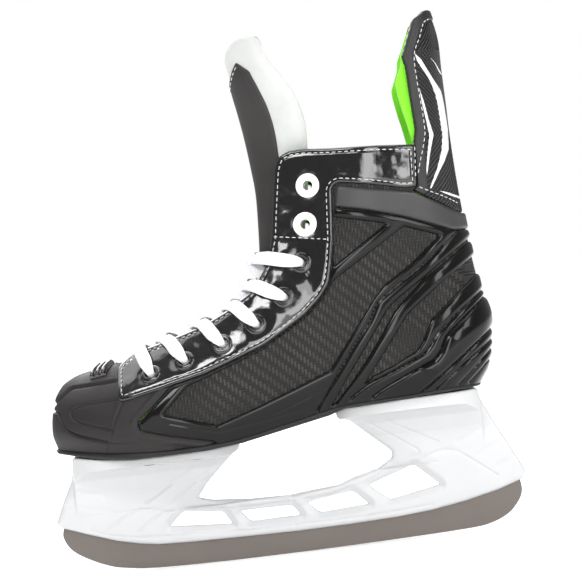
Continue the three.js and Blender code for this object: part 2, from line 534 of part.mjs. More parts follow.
// Ribbed bridge over the foot of the throat.
const bridgeU = [14.03, 14.12, 14.16, 14.26, 14.3, 14.4, 14.44, 14.54, 14.58, 14.66];
const bridgeRise = [2, 3, 1.8, 1.8, 3, 3, 1.8, 1.8, 3, 2.4];
const bridgeGrid = (rise) => bridgeU.map((u, i) => {
  const side = [4.7, 5.1, 5.6].map((v) => netPoint(BOOT, u, v).addScaledVector(netNormal(BOOT, u, v), rise(i)));
  const top = netPoint(BOOT, u, 6);
  return [...side, V(top.x, 0, top.z + rise(i)), ...side.map((p) => V(p.x, -p.y, p.z)).reverse()];
});
add("toe_bridge", leaned(toManifold(sheet(bridgeGrid((i) => bridgeRise[i]), bridgeGrid(() => GAP + 0.5)))), "gloss");

EYELETS.forEach((at, k) => {
  const name = at.white ? `eyelet_white_${k - 5}` : `eyelet_black_${k + 1}`;
  const [left, right] = both(eyeletSolid(at));
  add(`${name}_left`, leaned(left), at.white ? "white" : "gloss");
  add(`${name}_right`, leaned(right), at.white ? "white" : "gloss");
});

// ---------------------------------------------------------------- tendon guard
const below = (solid, z) => solid.trimByPlane([0, 0, -1], -z);
const above = (solid, z) => solid.trimByPlane([0, 0, 1], z);
const guard = layer(GUARD, range(-3, 3, 14), [0.3, 1, 2, 2.5, 3, 4, 5, 6], -GUARD_T, 0)
  .intersect(slab(GUARD_EDGE, -60, 60));
add("guard_base", below(guard, GUARD_SPLIT_Z - GAP / 2), "guard");
add("tendon_guard", above(guard, GUARD_SPLIT_Z + GAP / 2), "guard");
const greenOut = -GUARD_T - GAP;
const green = layer(GUARD, range(-2.65, 2.65, 12), [2, 3, 4, 5, 5.55], greenOut - GREEN_T, greenOut);
add("guard_lining", above(green, GUARD_SPLIT_Z + GAP / 2), "green");

// ---------------------------------------------------------------- tongue
// Point of the tongue `depth` below its front face: s runs up the centre line, f from -1 to 1 across it.
function tonguePoint(s, f, depth = 0) {
  const n = TONGUE.length - 1;
  const i = Math.min(Math.max(Math.floor(s), 0), n - 1);
  const value = (t, k) => {
    const get = (p) => (p < 0 ? 2 * TONGUE[0][k] - TONGUE[1][k] : p > n ? 2 * TONGUE[n][k] - TONGUE[n - 1][k]
      : TONGUE[p][k]);
    return spline(get(i - 1), get(i), get(i + 1), get(i + 2), t);
  };
  const t = s - i;
  const [x, z, w, d] = [0, 1, 2, 3].map((k) => value(t, k));
  const tx = value(t + 0.01, 0) - value(t - 0.01, 0);
  const tz = value(t + 0.01, 1) - value(t - 0.01, 1);
  const back = (depth + (d - 0.3 * depth) * f * f) / Math.hypot(tx, tz);
  return V(x - tz * back, (w - 0.9 * depth) * f, z + tx * back);
}

function tongueLayer(steps, across, low, high) {
  const grid = (depth) => steps.map((s) => across.map((f) => tonguePoint(s, f, depth)));
  return toManifold(sheet(grid(high), grid(low)));
}
const middle = [-0.7, -0.35, 0, 0.35, 0.7];
const cover = tongueLayer([...range(0, 15, 15), 15.6], middle, COVER_T, 0);
const feltFront = COVER_T + GAP * 1.5;
const felt = tongueLayer([...range(0, 17, 17), 17.6], [-1, ...middle, 1], feltFront + FELT_T, feltFront);
for (const [name, solid, look] of [["tongue_cover", cover, "guard"], ["tongue_felt", felt, "felt"]]) {
  add(`${name}_lower`, leaned(below(solid, TONGUE_SPLIT_Z - GAP / 2)), look);
  add(`${name}_upper`, leaned(above(solid, TONGUE_SPLIT_Z + GAP / 2)), look);
}

// ---------------------------------------------------------------- lace
// Closed strip through a list of { p, side, w }: a flat six-sided section, `w` wide along `side`.
function ribbon(stops) {
  const half = LACE_T / 2;
  const points = [];
  const n = stops.length;
  stops.forEach(({ p, side, up, w }) => {
    for (const [a, b] of [[0.5, 0], [0.34, 1], [-0.34, 1], [-0.5, 0], [-0.34, -1], [0.34, -1]])
      points.push(p.clone().addScaledVector(side, a * w).addScaledVector(up, b * half));
  });
  const faces = [];
  for (let i = 0; i < n - 1; i++)
    for (let k = 0; k < 6; k++) {
      const [a, b] = [i * 6 + k, i * 6 + ((k + 1) % 6)];
      faces.push(a, b, b + 6, a, b + 6, a + 6);
    }
  for (let k = 1; k < 5; k++) faces.push(0, k + 1, k, (n - 1) * 6, (n - 1) * 6 + k, (n - 1) * 6 + k + 1);
  return orient(indexed(points, faces));
}

const OVER = SKIN_T + GAP + 0.9; // height of a lace that lies on a facing
const UNDER = -SHELL_T - 1.4; // and of one that runs beneath it
const HOLE_W = 3.6; // width of the lace where a hole gathers it
// Side-view places where the strands pass over and beneath the front edge of a facing, toe end first.
const OVER_EDGE = [[74, 124.5], [57, 127.3], [36.5, 134.6], [17.5, 143.2], [5, 153.5], [-2.5, 168.5]];
const UNDER_EDGE = [[66.5, 127], [46.5, 131.6], [27, 139.8], [12, 148.5], [2, 160.5]];
const RISE = [5.2, 4.6, 4.8, 6.6, 8.6]; // of each crossing over the line between the two edges, to clear the tongue

// A stop of the lace `lift` above a place on the boot, on the outer (1) or inner (-1) side.
function stopAt(place, side, lift, w = LACE_W) {
  const p = place.p.clone().addScaledVector(place.n, lift);
  return { p: V(p.x, p.y * side, p.z), up: V(place.n.x, place.n.y * side, place.n.z), w };
}
const between = (a, b) => onBoot((a.p.x + b.p.x) / 2, (a.p.z + b.p.z) / 2);
const overEdge = OVER_EDGE.map(([x, z]) => onBoot(x, z));
const underEdge = UNDER_EDGE.map(([x, z]) => onBoot(x, z));

// One half of the lace, from the middle of the lowest strand. Each strand comes out from beneath one
// facing, crosses the throat, lies over the other facing and goes in through the next hole up.
function laceHalf(first) {
  const low = overEdge[0].p;
  const stops = [{ p: V(low.x, -0.3 * first, low.z + OVER), up: V(0.3, 0, 0.95), w: LACE_W }];
  let side = first;
  for (let k = 0; k < 6; k++) {
    const hole = EYELETS[k];
    stops.push(stopAt(overEdge[k], side, OVER + 2));
    stops.push(stopAt(between(hole, overEdge[k]), side, OVER + 1.8));
    stops.push(stopAt(hole, side, OVER + 2.8, HOLE_W + 0.2));
    stops.push(stopAt(hole, side, OVER - 1, HOLE_W));
    stops.push(stopAt(hole, side, -4, HOLE_W));
    if (k === 5) break;
    stops.push(stopAt(between(hole, underEdge[k]), side, UNDER - 1.5));
    stops.push(stopAt(underEdge[k], side, UNDER - 1.7));
    const from = stopAt(underEdge[k], side, UNDER);
    const to = stopAt(overEdge[k + 1], -side, OVER);
    const up = V(from.up.x, 0, from.up.z).normalize();
    stops.push({ p: from.p.add(to.p).multiplyScalar(0.5).addScaledVector(up, RISE[k] + 0.8 * side), up, w: LACE_W });
    side = -side;
  }
  return stops;
}

// Gives each stop its sideways direction, square to the run of the lace and to its upper face.
function withSides(stops) {
  return stops.map((stop, i) => {
    const run = stops[Math.min(i + 1, stops.length - 1)].p.clone().sub(stops[Math.max(i - 1, 0)].p).normalize();
    const side = run.clone().cross(stop.up).normalize();
    return { ...stop, side, up: side.clone().cross(run).normalize() };
  });
}
const laceStrip = (stops) => toManifold(ribbon(withSides(stops)));
add("lace", leaned(laceStrip(laceHalf(1)).add(laceStrip(laceHalf(-1)))), "lace");

// Free ends: down the inside of the liner to a flat coil that lies on the footbed.
const LACE_END = [
  [-24.5, 28.6, 160], [-31, 28.6, 152], [-38, 28.6, 142], [-44, 28.2, 131], [-49, 27.4, 119], [-54, 25.8, 109],
  [-61, 23.8, 100.8], [-70, 22.6, 96.6], [-78, 22.4, 96],
];
const COIL_X = -50; // middle of the coil
const COIL_RUN = 33; // half length of its straight sides
const COIL_R = [15.6, 21]; // inner and outer radius of its round ends
const TIP_L = 20;
const bedTop = (x) => boardTop(x) + 5.8;
for (const [name, side] of [["left", 1], ["right", -1]]) {
  const stops = LACE_END.map(([x, y, z]) => ({ p: V(x, y * side, z), up: V(0, side, 0), w: LACE_W }));
  add(`lace_end_${name}`, laceStrip([stopAt(EYELETS[5], side, -4.6, HOLE_W), ...stops]), "lace");
  const tip = new THREE.CylinderGeometry(1.4, 1.4, TIP_L, 10).rotateZ(Math.PI / 2);
  add(`lace_tip_${name}`, toManifold(tip.translate(-42, 7.5 * side, bedTop(-42) + 2.6)), "clear");
}
const track = (r) => range(0, 2 * Math.PI, 32).slice(0, -1).map((a) =>
  [COIL_X + COIL_RUN * Math.sign(Math.round(Math.cos(a) * 1e6)) + r * Math.cos(a), r * Math.sin(a)]);
const ring = [];
const ringFaces = [];
const [inner, outer] = COIL_R.map(track);
inner.forEach(([x, y], i) => {
  const [ox, oy] = outer[i];
  ring.push(V(x, y, bedTop(x)), V(ox, oy, bedTop(ox)), V(ox, oy, bedTop(ox) + LACE_W), V(x, y, bedTop(x) + LACE_W));
  for (let k = 0; k < 4; k++) {
    const [a, b] = [i * 4 + k, i * 4 + ((k + 1) % 4)];
    const [c, d] = [a, b].map((q) => (q + 4) % (inner.length * 4));
    ringFaces.push(a, b, d, a, d, c);
  }
});
const coil = toManifold(orient(indexed(ring, ringFaces))).translate([0, 0, 0.8]);
add("lace_coil", coil, "lace");

export default group;
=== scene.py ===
"""A junior ice hockey skate: its visible pieces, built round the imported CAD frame. Millimetres in
the tables, metres in the scene. +X to the toe, +Z up, +Y to the outer side of the foot."""
import math

import bpy
import numpy as np
from mathutils import Matrix, Vector
from mathutils.geometry import tessellate_polygon
from mathutils.kdtree import KDTree


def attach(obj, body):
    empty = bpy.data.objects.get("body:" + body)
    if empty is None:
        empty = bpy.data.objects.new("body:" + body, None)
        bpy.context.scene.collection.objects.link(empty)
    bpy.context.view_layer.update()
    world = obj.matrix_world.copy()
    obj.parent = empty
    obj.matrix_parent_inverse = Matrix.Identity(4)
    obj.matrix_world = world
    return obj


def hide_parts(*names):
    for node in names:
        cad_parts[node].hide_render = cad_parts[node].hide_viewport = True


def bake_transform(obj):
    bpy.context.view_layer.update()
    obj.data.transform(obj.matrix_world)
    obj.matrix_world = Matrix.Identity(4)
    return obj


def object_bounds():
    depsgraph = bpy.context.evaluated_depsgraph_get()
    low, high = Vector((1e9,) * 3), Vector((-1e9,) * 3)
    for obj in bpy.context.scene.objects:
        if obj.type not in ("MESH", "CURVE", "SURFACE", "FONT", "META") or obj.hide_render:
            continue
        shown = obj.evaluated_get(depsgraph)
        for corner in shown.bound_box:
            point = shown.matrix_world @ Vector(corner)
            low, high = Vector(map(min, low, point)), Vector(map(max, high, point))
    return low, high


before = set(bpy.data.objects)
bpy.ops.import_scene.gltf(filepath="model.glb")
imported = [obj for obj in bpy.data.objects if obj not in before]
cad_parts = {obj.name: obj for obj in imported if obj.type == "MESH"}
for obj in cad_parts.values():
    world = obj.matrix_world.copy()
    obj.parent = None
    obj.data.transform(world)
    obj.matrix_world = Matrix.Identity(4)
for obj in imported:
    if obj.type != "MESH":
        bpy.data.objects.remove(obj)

cad_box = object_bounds()
MM = 0.001

# Outer surface of the boot, outer half: columns from the back of the heel round to the nose,
# each from the sole edge up to the collar, the throat or the top of the toe.
BOOT = [
    [[-114.6, 0, 85.4], [-121.5, 0, 97], [-124.2, 0, 115], [-121.5, 0, 140], [-118.2, 0, 168],
     [-116.2, 0, 197], [-115.2, 0, 223]],
    [[-110.5, 14.5, 85.3], [-117, 17.5, 97], [-119, 18.5, 115], [-116.5, 16.5, 140], [-113.5, 15,
     168], [-111.8, 17, 197], [-111, 18.5, 223.4]],
    [[-98, 24.5, 85], [-102, 29, 97], [-103.5, 30.5, 116], [-101.5, 28.5, 142], [-100, 27, 170],
     [-100.5, 28.5, 198], [-101.5, 29, 224]],
    [[-80, 29.5, 84.4], [-82, 33.5, 97], [-83, 35, 117], [-81.5, 33, 144], [-82, 33.5, 171], [-84.5,
     35, 199], [-87, 34.5, 226]],
    [[-57, 31, 83.5], [-58, 35, 97], [-59, 36.5, 118], [-60, 36.5, 146], [-62, 38.5, 173], [-66,
     38.5, 200], [-70, 37, 228.3]],
    [[-33, 31.5, 82.3], [-34, 36, 96.5], [-36, 38.5, 120], [-40, 39, 147], [-45, 39.5, 174], [-49,
     37.5, 201], [-52, 34.5, 229.8]],
    [[-12, 33, 78.2], [-13, 38, 93], [-16, 40, 117], [-22, 38.5, 146], [-28.5, 34.5, 174], [-32.5,
     31, 203], [-34, 28.5, 231]],
    [[2, 34.5, 75.6], [2, 40, 91], [-1, 42, 114], [-7, 39, 142], [-13, 33, 170], [-15.5, 27.5, 200],
     [-14.5, 22.5, 231]],
    [[15, 36, 72.9], [15, 41.5, 88], [12, 43.5, 109], [6, 39.5, 134], [-1, 32, 159], [-5, 25.5,
     183], [-6, 20, 207]],
    [[28, 37.5, 71], [28, 42.5, 85], [25.5, 44.5, 104], [20, 40, 126], [12, 32, 147], [4.5, 24.5,
     165.5], [-1, 18.5, 180]],
    [[42, 39.5, 69.9], [42, 44, 83], [40, 45.5, 99], [35, 41, 117], [27, 33, 134], [18, 24.5, 148],
     [10, 17.5, 156]],
    [[56, 41, 69.4], [56.5, 45, 81.5], [55, 46, 95.5], [51, 41, 110.5], [44.5, 33, 124.5], [37,
     24.5, 136], [29, 16.5, 144]],
    [[70, 41, 69.4], [71, 44.8, 80.5], [70.5, 45.5, 93], [67.5, 40, 106], [63, 32, 117.5], [57,
     23.5, 127.5], [51, 15.5, 135.5]],
    [[84, 39, 70.1], [86, 42.5, 80.5], [86, 42.5, 91.5], [84.5, 37.5, 103], [81.5, 29, 112.5], [77,
     20, 121], [72, 12, 128.5]],
    [[97, 34, 71.1], [100, 37, 80.5], [100.5, 37, 91], [99.5, 32, 101.5], [97.5, 24, 110], [94.5,
     13, 117], [91.5, 0, 120]],
    [[109, 26.5, 72.4], [112.5, 29.5, 81], [113, 29, 91], [112.3, 24.5, 100.5], [110.8, 17, 108.5],
     [108.5, 8.5, 114.2], [106, 0, 117.2]],
    [[119.5, 17.5, 73.8], [123, 19.5, 82], [123.3, 18.5, 91], [122.3, 15, 99.5], [120.5, 10, 106.3],
     [117.5, 4.8, 111.8], [114, 0, 115.3]],
    [[127, 8.5, 75], [129.8, 9.5, 82.5], [129.6, 9, 91], [128.2, 7.2, 98.5], [126.5, 4.8, 104.3],
     [123.5, 2.3, 109], [120, 0, 112.6]],
    [[129.6, 0, 75.7], [131.2, 0, 83], [130.8, 0, 91], [129.2, 0, 98.3], [127.6, 0, 103.8], [125.2,
     0, 107.8], [122.5, 0, 111]],
]
# Rows that carry the back of the boot on up into the tendon guard.
GUARD_TOP = [
    [[-115.1, 0, 245], [-114.9, 0, 265], [-114.9, 0, 283], [-111.8, 0, 300]],
    [[-111.2, 17, 245], [-111.3, 16, 265], [-111.5, 14.5, 283], [-109.2, 12, 300]],
    [[-103, 26.5, 245], [-103.5, 25, 265], [-104, 22.5, 283], [-103, 18.5, 300]],
    [[-90, 31, 245], [-90, 29.5, 265], [-91, 27, 283], [-92, 23.5, 300]],
]
# Front face of the tongue: x, z, half width and how far its edges are set back. The last three rows
# are fuller than the CAD's, for the felt's rounded top.
TONGUE = [
    [84, 116.5, 10, 2.5], [76, 120.5, 15, 5], [62, 124.8, 18.5, 8], [46, 129.7, 20.5, 11], [32, 134.8,
    21.5, 13], [19, 141.7, 21.5, 15], [10.5, 149.5, 21, 17], [5, 159.5, 20.5, 19], [1.8, 171, 20, 21],
    [0.3, 189, 20, 24], [-0.4, 207, 20.5, 27], [0.5, 221, 21, 30], [2.2, 238, 24, 32.5], [4.1, 251.7,
    26.5, 31.5], [6.2, 264, 27, 27.5], [8, 275, 25.5, 23.5], [8.4, 285, 22, 20.5], [5, 292.5, 18, 16.5],
    [-1, 297.5, 11, 9],
]
FACING_EDGE = [
    [-92.4, 222.6], [-73.3, 224.6], [-56.6, 225.6], [-45.4, 226.4], [-30, 228.2], [-22, 228], [-16.1,
    225.4], [-13.2, 218.6], [-9, 192.6], [-7, 179.6], [-2.1, 165.3], [7.6, 151.5], [22.4, 142.4], [39.2,
    134.8], [61.1, 129], [79.7, 124.5], [86, 120.5], [88.9, 116.2], [89.4, 99.3],
]
FACING_LOWER = [
    [84.2, 99.4], [62, 104], [39.8, 108.9], [18.9, 116.1], [5.2, 120.8], [-7, 127.5], [-19.8, 135.1],
    [-30.1, 144], [-35.6, 151.4], [-38.3, 161.2], [-41, 175], [-43.6, 204], [-46.9, 206.7], [-63.7,
    203.7], [-83.4, 199.3], [-91, 199.2],
]
BAND = [
    [-44.2, 193.6], [-61.9, 189.4], [-81.4, 183.6], [-100.7, 176.2], [-109, 172.8], [-130, 172.8],
    [-130, 182], [-114.6, 182], [-89.1, 196.6], [-46.7, 204.8],
]
TOE_SEAM = [
    [36, 60], [38.9, 71], [63.2, 77], [78.7, 82.1], [79.8, 86.4], [61.1, 102.8], [55, 110], [58, 129.6],
]
CAGE = [
    [-43.9, 193.2], [-61.9, 189], [-81.4, 183.2], [-100.7, 175.8], [-109, 172.4], [-135, 172.4], [-135,
    60], [35.4, 60], [38.4, 71.4], [62.8, 77.5], [78, 82.4], [79, 86.1], [60.5, 102.5], [58, 104.4],
    [39.7, 108.5], [18.8, 115.7], [5, 120.4], [-7.2, 127.1], [-20.1, 134.8], [-30.5, 143.7], [-36,
    151.3], [-38.8, 161.1], [-41.5, 175],
]
GUARD_EDGE = [
    [-130, 181.6], [-114.7, 182.7], [-89.2, 197.4], [-91.8, 199.8], [-93, 223.9], [-94.8, 231.7], [-94,
    250], [-93.5, 267.8], [-92.2, 273.5], [-94.9, 279.8], [-101, 294.2], [-105, 296.4], [-108.6, 299.2],
    [-112, 299.4], [-130, 299.4],
]
LINER_EDGE = [
    [-130, 88.6], [-95, 88.8], [-57, 87.4], [-33, 85.2], [-12, 81.4], [2, 78.8], [15, 76.2], [28, 74.4],
    [56, 72.8], [80, 73.6], [80, 100], [62, 108], [40, 114], [20, 121.5], [-5, 135], [-20, 147], [-29,
    160], [-36.5, 178], [-40.5, 205], [-41, 221], [-130, 220.6],
]
RUNNER_EDGE = [
    [131.8, 29.6], [132.9, 25.4], [130.5, 19], [125.6, 14], [117.3, 9.1], [110, 5.8], [101.4, 3.3],
    [81.8, 0.9], [38.7, 0], [-1.1, 0], [-49.2, 0.5], [-97.4, 1.8], [-112, 3.4], [-123.1, 7.9], [-129.7,
    14.7], [-132.1, 20.2], [-131.7, 26],
]
RUNNER_TOP = [
    [-118.7, 26.6], [-107, 24], [-104.5, 34], [-91.5, 34], [-88.5, 20.5], [-79.5, 19], [-60.2, 17.6],
    [-31.3, 16.9], [-2.6, 16.6], [26, 17], [59, 17.7], [78.9, 18.6], [83, 21], [85.5, 33], [98.5, 33],
    [101, 24], [118.5, 28.4],
]
HOLDER = [
    [132.2, 29.8], [118.5, 24.6], [102.6, 19], [89.7, 15.9], [78.9, 14.2], [59, 13.3], [26, 12.6],
    [-2.6, 12.2], [-31.3, 12.5], [-60.2, 13.4], [-79.5, 14.9], [-99, 17.8], [-118.7, 22.1], [-131.7,
    26.3], [-134, 27.1], [-135.4, 31], [-131.2, 39.9], [-125.5, 51.6], [-119.7, 63.3], [-113.5, 77],
    [-113.2, 81.6], [-75.3, 81.4], [-36.6, 79.9], [-30.9, 77.9], [-31.4, 74], [-38, 72.4], [-47, 63.6],
    [-60.3, 51.5], [-60.2, 47.6], [-52.2, 42.7], [-34.4, 38.2], [-28.5, 35.7], [1.4, 33.2], [23.4,
    33.7], [45.2, 35.8], [53, 38], [47.3, 45.5], [29.9, 61.8], [25.8, 64], [26.4, 67.2], [44, 66], [65,
    65.8], [85.9, 65.8], [106.7, 67.7], [121.5, 69.8], [122.3, 66.5], [123.8, 56.8], [128.8, 47.5],
    [135.2, 33.8], [134.9, 31.7],
]
PANELS = [
    [[50, 103.5], [64.9, 89.6], [35.9, 79.9], [9.8, 88.2], [-30.3, 102.6], [-59.7, 139.4], [-66.6,
     146.7], [-83, 156.8], [-100.8, 170.7], [-81, 177.9], [-38.5, 152.5], [-31.8, 143], [-20.8,
     133.6], [5, 118.8], [39.4, 106.9]],
    [[-45, 186.7], [-71.4, 180.6], [-41.5, 161.5]],
    [[-110, 151.2], [-77, 128.3], [-48.6, 92.3], [-67.2, 101.4], [-80.3, 107.8], [-90.1, 123.9],
     [-110, 139.5]],
]
WINDOWS = [
    [[62.5, 31.4], [39.8, 28.6], [35, 20.6], [71.5, 23.5]],
    [[30.4, 27.8], [0, 27.4], [-4.4, 21], [25, 20.9]],
    [[-8.6, 27.9], [-35.4, 31.5], [-44.2, 22.5], [-15.4, 21.1]],
    [[-44.8, 33.6], [-72, 42.3], [-86, 28.8], [-56, 23.6]],
]
FLANGE_PLAN = [
    [[123, 6], [120, 14], [112, 22], [100, 27.5], [82, 30], [58, 30], [40, 27.5], [30, 20], [24,
     8]],
    [[-29, 8], [-33, 18], [-42, 23.5], [-60, 26], [-85, 25.5], [-100, 22], [-110, 15], [-114, 8]],
]

GUARD = [column[4:] + top for column, top in zip(BOOT, GUARD_TOP)]
BLACK_EYELETS = [(69.4, 111.8), (49.7, 117.1), (27.7, 124.1), (7.6, 133.0), (-9.6, 146.2), (-21.6, 164.3)]
WHITE_EYELETS = [(-26.6, 185.5), (-30.7, 207.1)]
TOE_SKEW = 3.0

# ------------------------------------------------------------------ camera and light
CAMERA_FAR = 1500.0  # from the middle plane of the skate
VIEW_CENTRE = (-13.5, 150.05)
VIEW_HEIGHT = 333.5
ROLL = math.radians(6.9)
SENSOR = 36
WORLD_LIGHT = 0.3


def make_camera():
    data = bpy.data.cameras.new("camera")
    data.sensor_width = SENSOR
    data.lens = SENSOR / 2 / (VIEW_HEIGHT / 2 / CAMERA_FAR)
    data.clip_start, data.clip_end = 0.05, 20
    camera = bpy.data.objects.new("camera", data)
    bpy.context.scene.collection.objects.link(camera)
    c, s = math.cos(ROLL), math.sin(ROLL)
    turn = Matrix(((-c, -s, 0), (0, 0, 1), (-s, c, 0)))
    camera.matrix_world = Matrix.Translation(
        Vector((VIEW_CENTRE[0], CAMERA_FAR, VIEW_CENTRE[1])) * MM) @ turn.to_4x4()
    bpy.context.scene.camera = camera


def area_light(name, place, target, size, watts, size_y=None):
    data = bpy.data.lights.new(name, "AREA")
    data.shape = "RECTANGLE"
    data.size, data.size_y = size, size_y or size
    data.energy = watts
    light = bpy.data.objects.new(name, data)
    bpy.context.scene.collection.objects.link(light)
    place, target = Vector(place), Vector(target)
    light.location = place
    light.rotation_euler = (target - place).to_track_quat("-Z", "Y").to_euler()


def make_world():
    world = bpy.data.worlds.new("studio")
    bpy.context.scene.world = world
    world.use_nodes = True
    tree = world.node_tree
    tree.nodes.clear()
    out = tree.nodes.new("ShaderNodeOutputWorld")
    mix = tree.nodes.new("ShaderNodeMixShader")
    seen = tree.nodes.new("ShaderNodeBackground")
    lit = tree.nodes.new("ShaderNodeBackground")
    rays = tree.nodes.new("ShaderNodeLightPath")
    seen.inputs[0].default_value = (1, 1, 1, 1)
    seen.inputs[1].default_value = 1.0
    place = tree.nodes.new("ShaderNodeTexCoord")
    split = tree.nodes.new("ShaderNodeSeparateXYZ")
    ramp = tree.nodes.new("ShaderNodeValToRGB")
    shift = tree.nodes.new("ShaderNodeMath")
    shift.operation = "MULTIPLY_ADD"
    shift.inputs[1].default_value = -0.5
    shift.inputs[2].default_value = 0.5
    tree.links.new(place.outputs["Generated"], split.inputs[0])
    tree.links.new(split.outputs["Y"], shift.inputs[0])
    tree.links.new(shift.outputs[0], ramp.inputs[0])
    ramp.color_ramp.elements[0].position, ramp.color_ramp.elements[0].color = 0.1, (0.3, 0.3, 0.3, 1)
    ramp.color_ramp.elements[1].position, ramp.color_ramp.elements[1].color = 0.7, (1, 1, 1, 1)
    tree.links.new(ramp.outputs[0], lit.inputs[0])
    lit.inputs[1].default_value = WORLD_LIGHT
    tree.links.new(rays.outputs["Is Camera Ray"], mix.inputs[0])
    tree.links.new(lit.outputs[0], mix.inputs[1])
    tree.links.new(seen.outputs[0], mix.inputs[2])
    tree.links.new(mix.outputs[0], out.inputs[0])


make_camera()
make_world()
area_light("key", (0.9, 1.5, 1.5), (0, 0, 0.15), 0.9, 21, 0.5)
area_light("overhead", (0.55, -0.85, 1.25), (0, 0, 0.15), 1.4, 9, 1.0)
area_light("heel", (-1.0, 1.15, 0.5), (-0.1, 0, 0.12), 0.4, 6, 0.6)
area_light("strip", (-0.14, 1.5, 0.42), (-0.06, 0, 0.2), 0.42, 7, 0.75)
area_light("rim", (-1.1, 0.7, 0.9), (0, 0, 0.15), 0.35, 6, 0.9)
area_light("top", (0.0, -0.2, 1.5), (0, 0, 0.1), 1.2, 12)
area_light("back", (0.4, -1.4, 0.9), (0, 0, 0.15), 0.8, 9)
bpy.context.scene.view_settings.view_transform = "Standard"


# ------------------------------------------------------------------ materials
def shader(name, colour, rough, metal=0.0, coat=0.0, coat_rough=0.1, sheen=0.0, specular=0.5):
    m = bpy.data.materials.new(name)
    m.use_nodes = True
    b = m.node_tree.nodes["Principled BSDF"]
    b.inputs["Base Color"].default_value = (*colour, 1)
    b.inputs["Roughness"].default_value = rough
    b.inputs["Metallic"].default_value = metal
    b.inputs["Coat Weight"].default_value = coat
    b.inputs["Coat Roughness"].default_value = coat_rough
    b.inputs["Sheen Weight"].default_value = sheen
    b.inputs["Specular IOR Level"].default_value = specular
    return m


class Nodes:
    """Short calls for building one material's node tree."""

    def __init__(self, material):
        self.tree = material.node_tree
        self.shader = self.tree.nodes["Principled BSDF"]

    def value(self, socket, x):
        if isinstance(x, (int, float)):
            socket.default_value = x
        elif isinstance(x, tuple):
            socket.default_value = x
        else:
            self.tree.links.new(x, socket)

    def math(self, operation, *xs):
        n = self.tree.nodes.new("ShaderNodeMath")
        n.operation = operation
        for socket, x in zip(n.inputs, xs):
            self.value(socket, x)
        return n.outputs[0]

    def where(self, name=None):
        """Coordinates in metres, or a named vector of the mesh."""
        if name:
            n = self.tree.nodes.new("ShaderNodeAttribute")
            n.attribute_name = name
            return n.outputs["Vector"]
        return self.tree.nodes.new("ShaderNodeTexCoord").outputs["Object"]

    def stretched(self, vector, scale):
        n = self.tree.nodes.new("ShaderNodeMapping")
        n.inputs["Scale"].default_value = scale
        self.tree.links.new(vector, n.inputs["Vector"])
        return n.outputs[0]

    def split(self, vector):
        n = self.tree.nodes.new("ShaderNodeSeparateXYZ")
        self.tree.links.new(vector, n.inputs[0])
        return n.outputs

    def noise(self, vector, scale, detail=3.0, rough=0.55):
        n = self.tree.nodes.new("ShaderNodeTexNoise")
        n.inputs["Scale"].default_value = scale
        n.inputs["Detail"].default_value = detail
        n.inputs["Roughness"].default_value = rough
        self.tree.links.new(vector, n.inputs["Vector"])
        return n.outputs[0]

    def ramp(self, x, low, high, start=0.0, end=1.0):
        n = self.tree.nodes.new("ShaderNodeMapRange")
        n.clamp = True
        for socket, v in zip(n.inputs, (x, start, end, low, high)):
            self.value(socket, v)
        return n.outputs[0]

    def mix(self, x, a, b):
        n = self.tree.nodes.new("ShaderNodeMix")
        n.data_type = "RGBA"
        self.value(n.inputs["Factor"], x)
        for socket, c in ((n.inputs[6], a), (n.inputs[7], b)):
            self.value(socket, (*c, 1) if isinstance(c, tuple) else c)
        return n.outputs[2]

    def colour(self, x):
        self.tree.links.new(x, self.shader.inputs["Base Color"])

    def roughness(self, x):
        self.tree.links.new(x, self.shader.inputs["Roughness"])

    def bump(self, height, distance, strength=1.0):
        n = self.tree.nodes.new("ShaderNodeBump")
        n.inputs["Strength"].default_value = strength
        n.inputs["Distance"].default_value = distance
        self.tree.links.new(height, n.inputs["Height"])
        self.tree.links.new(n.outputs[0], self.shader.inputs["Normal"])


def grained(name, colour, rough, grain, depth, spread=0.12, lighter=1.35, **more):
    """A plain material with grain of a given size (mm), colour mottling and uneven roughness."""
    m = shader(name, colour, rough, **more)
    k = Nodes(m)
    fine = k.noise(k.where(), 1000 / grain, 2.0)
    broad = k.noise(k.where(), 45, 3.0)
    light = tuple(min(1.0, c * lighter) for c in colour)
    k.colour(k.mix(k.ramp(broad, 0, 1, 0.35, 0.7), colour, light))
    k.roughness(k.ramp(broad, rough - spread / 2, rough + spread / 2, 0.3, 0.7))
    k.bump(fine, depth * MM)
    return m


TOW = 1.75  # width of a tow of the carbon weave, mm


def weave_material():
    m = shader("carbon_weave", (0.03, 0.03, 0.03), 0.36, specular=0.2)
    k = Nodes(m)
    along = k.split(k.where("flow"))
    x, z = (k.math("DIVIDE", along[i], TOW) for i in (0, 1))
    fx, fz = k.math("FRACT", x), k.math("FRACT", z)
    step = k.math("SUBTRACT", k.math("FLOOR", x), k.math("FLOOR", z))
    over = k.math("LESS_THAN", k.math("FLOORED_MODULO", step, 4.0), 1.5)
    arch = [k.math("SINE", k.math("MULTIPLY", f, math.pi)) for f in (fx, fz)]
    height = k.math("ADD", k.math("MULTIPLY", over, arch[0]),
                    k.math("MULTIPLY", k.math("SUBTRACT", 1.0, over), k.math("MULTIPLY", arch[1], 0.55)))
    broad = k.noise(k.where(), 38, 3.0)
    # painted sheen: over tows are coloured lighter towards their crowns, mottled at random; under tows stay
    # dark
    painted_sheen = k.mix(k.ramp(broad, 0, 1, 0.35, 0.65), (0.02, 0.0182, 0.017), (0.046, 0.042, 0.039))
    k.colour(k.mix(k.math("MULTIPLY", height, over), (0.013, 0.0125, 0.012), painted_sheen))
    k.roughness(k.ramp(height, 0.5, 0.33))
    k.bump(height, 0.35 * MM)
    return m


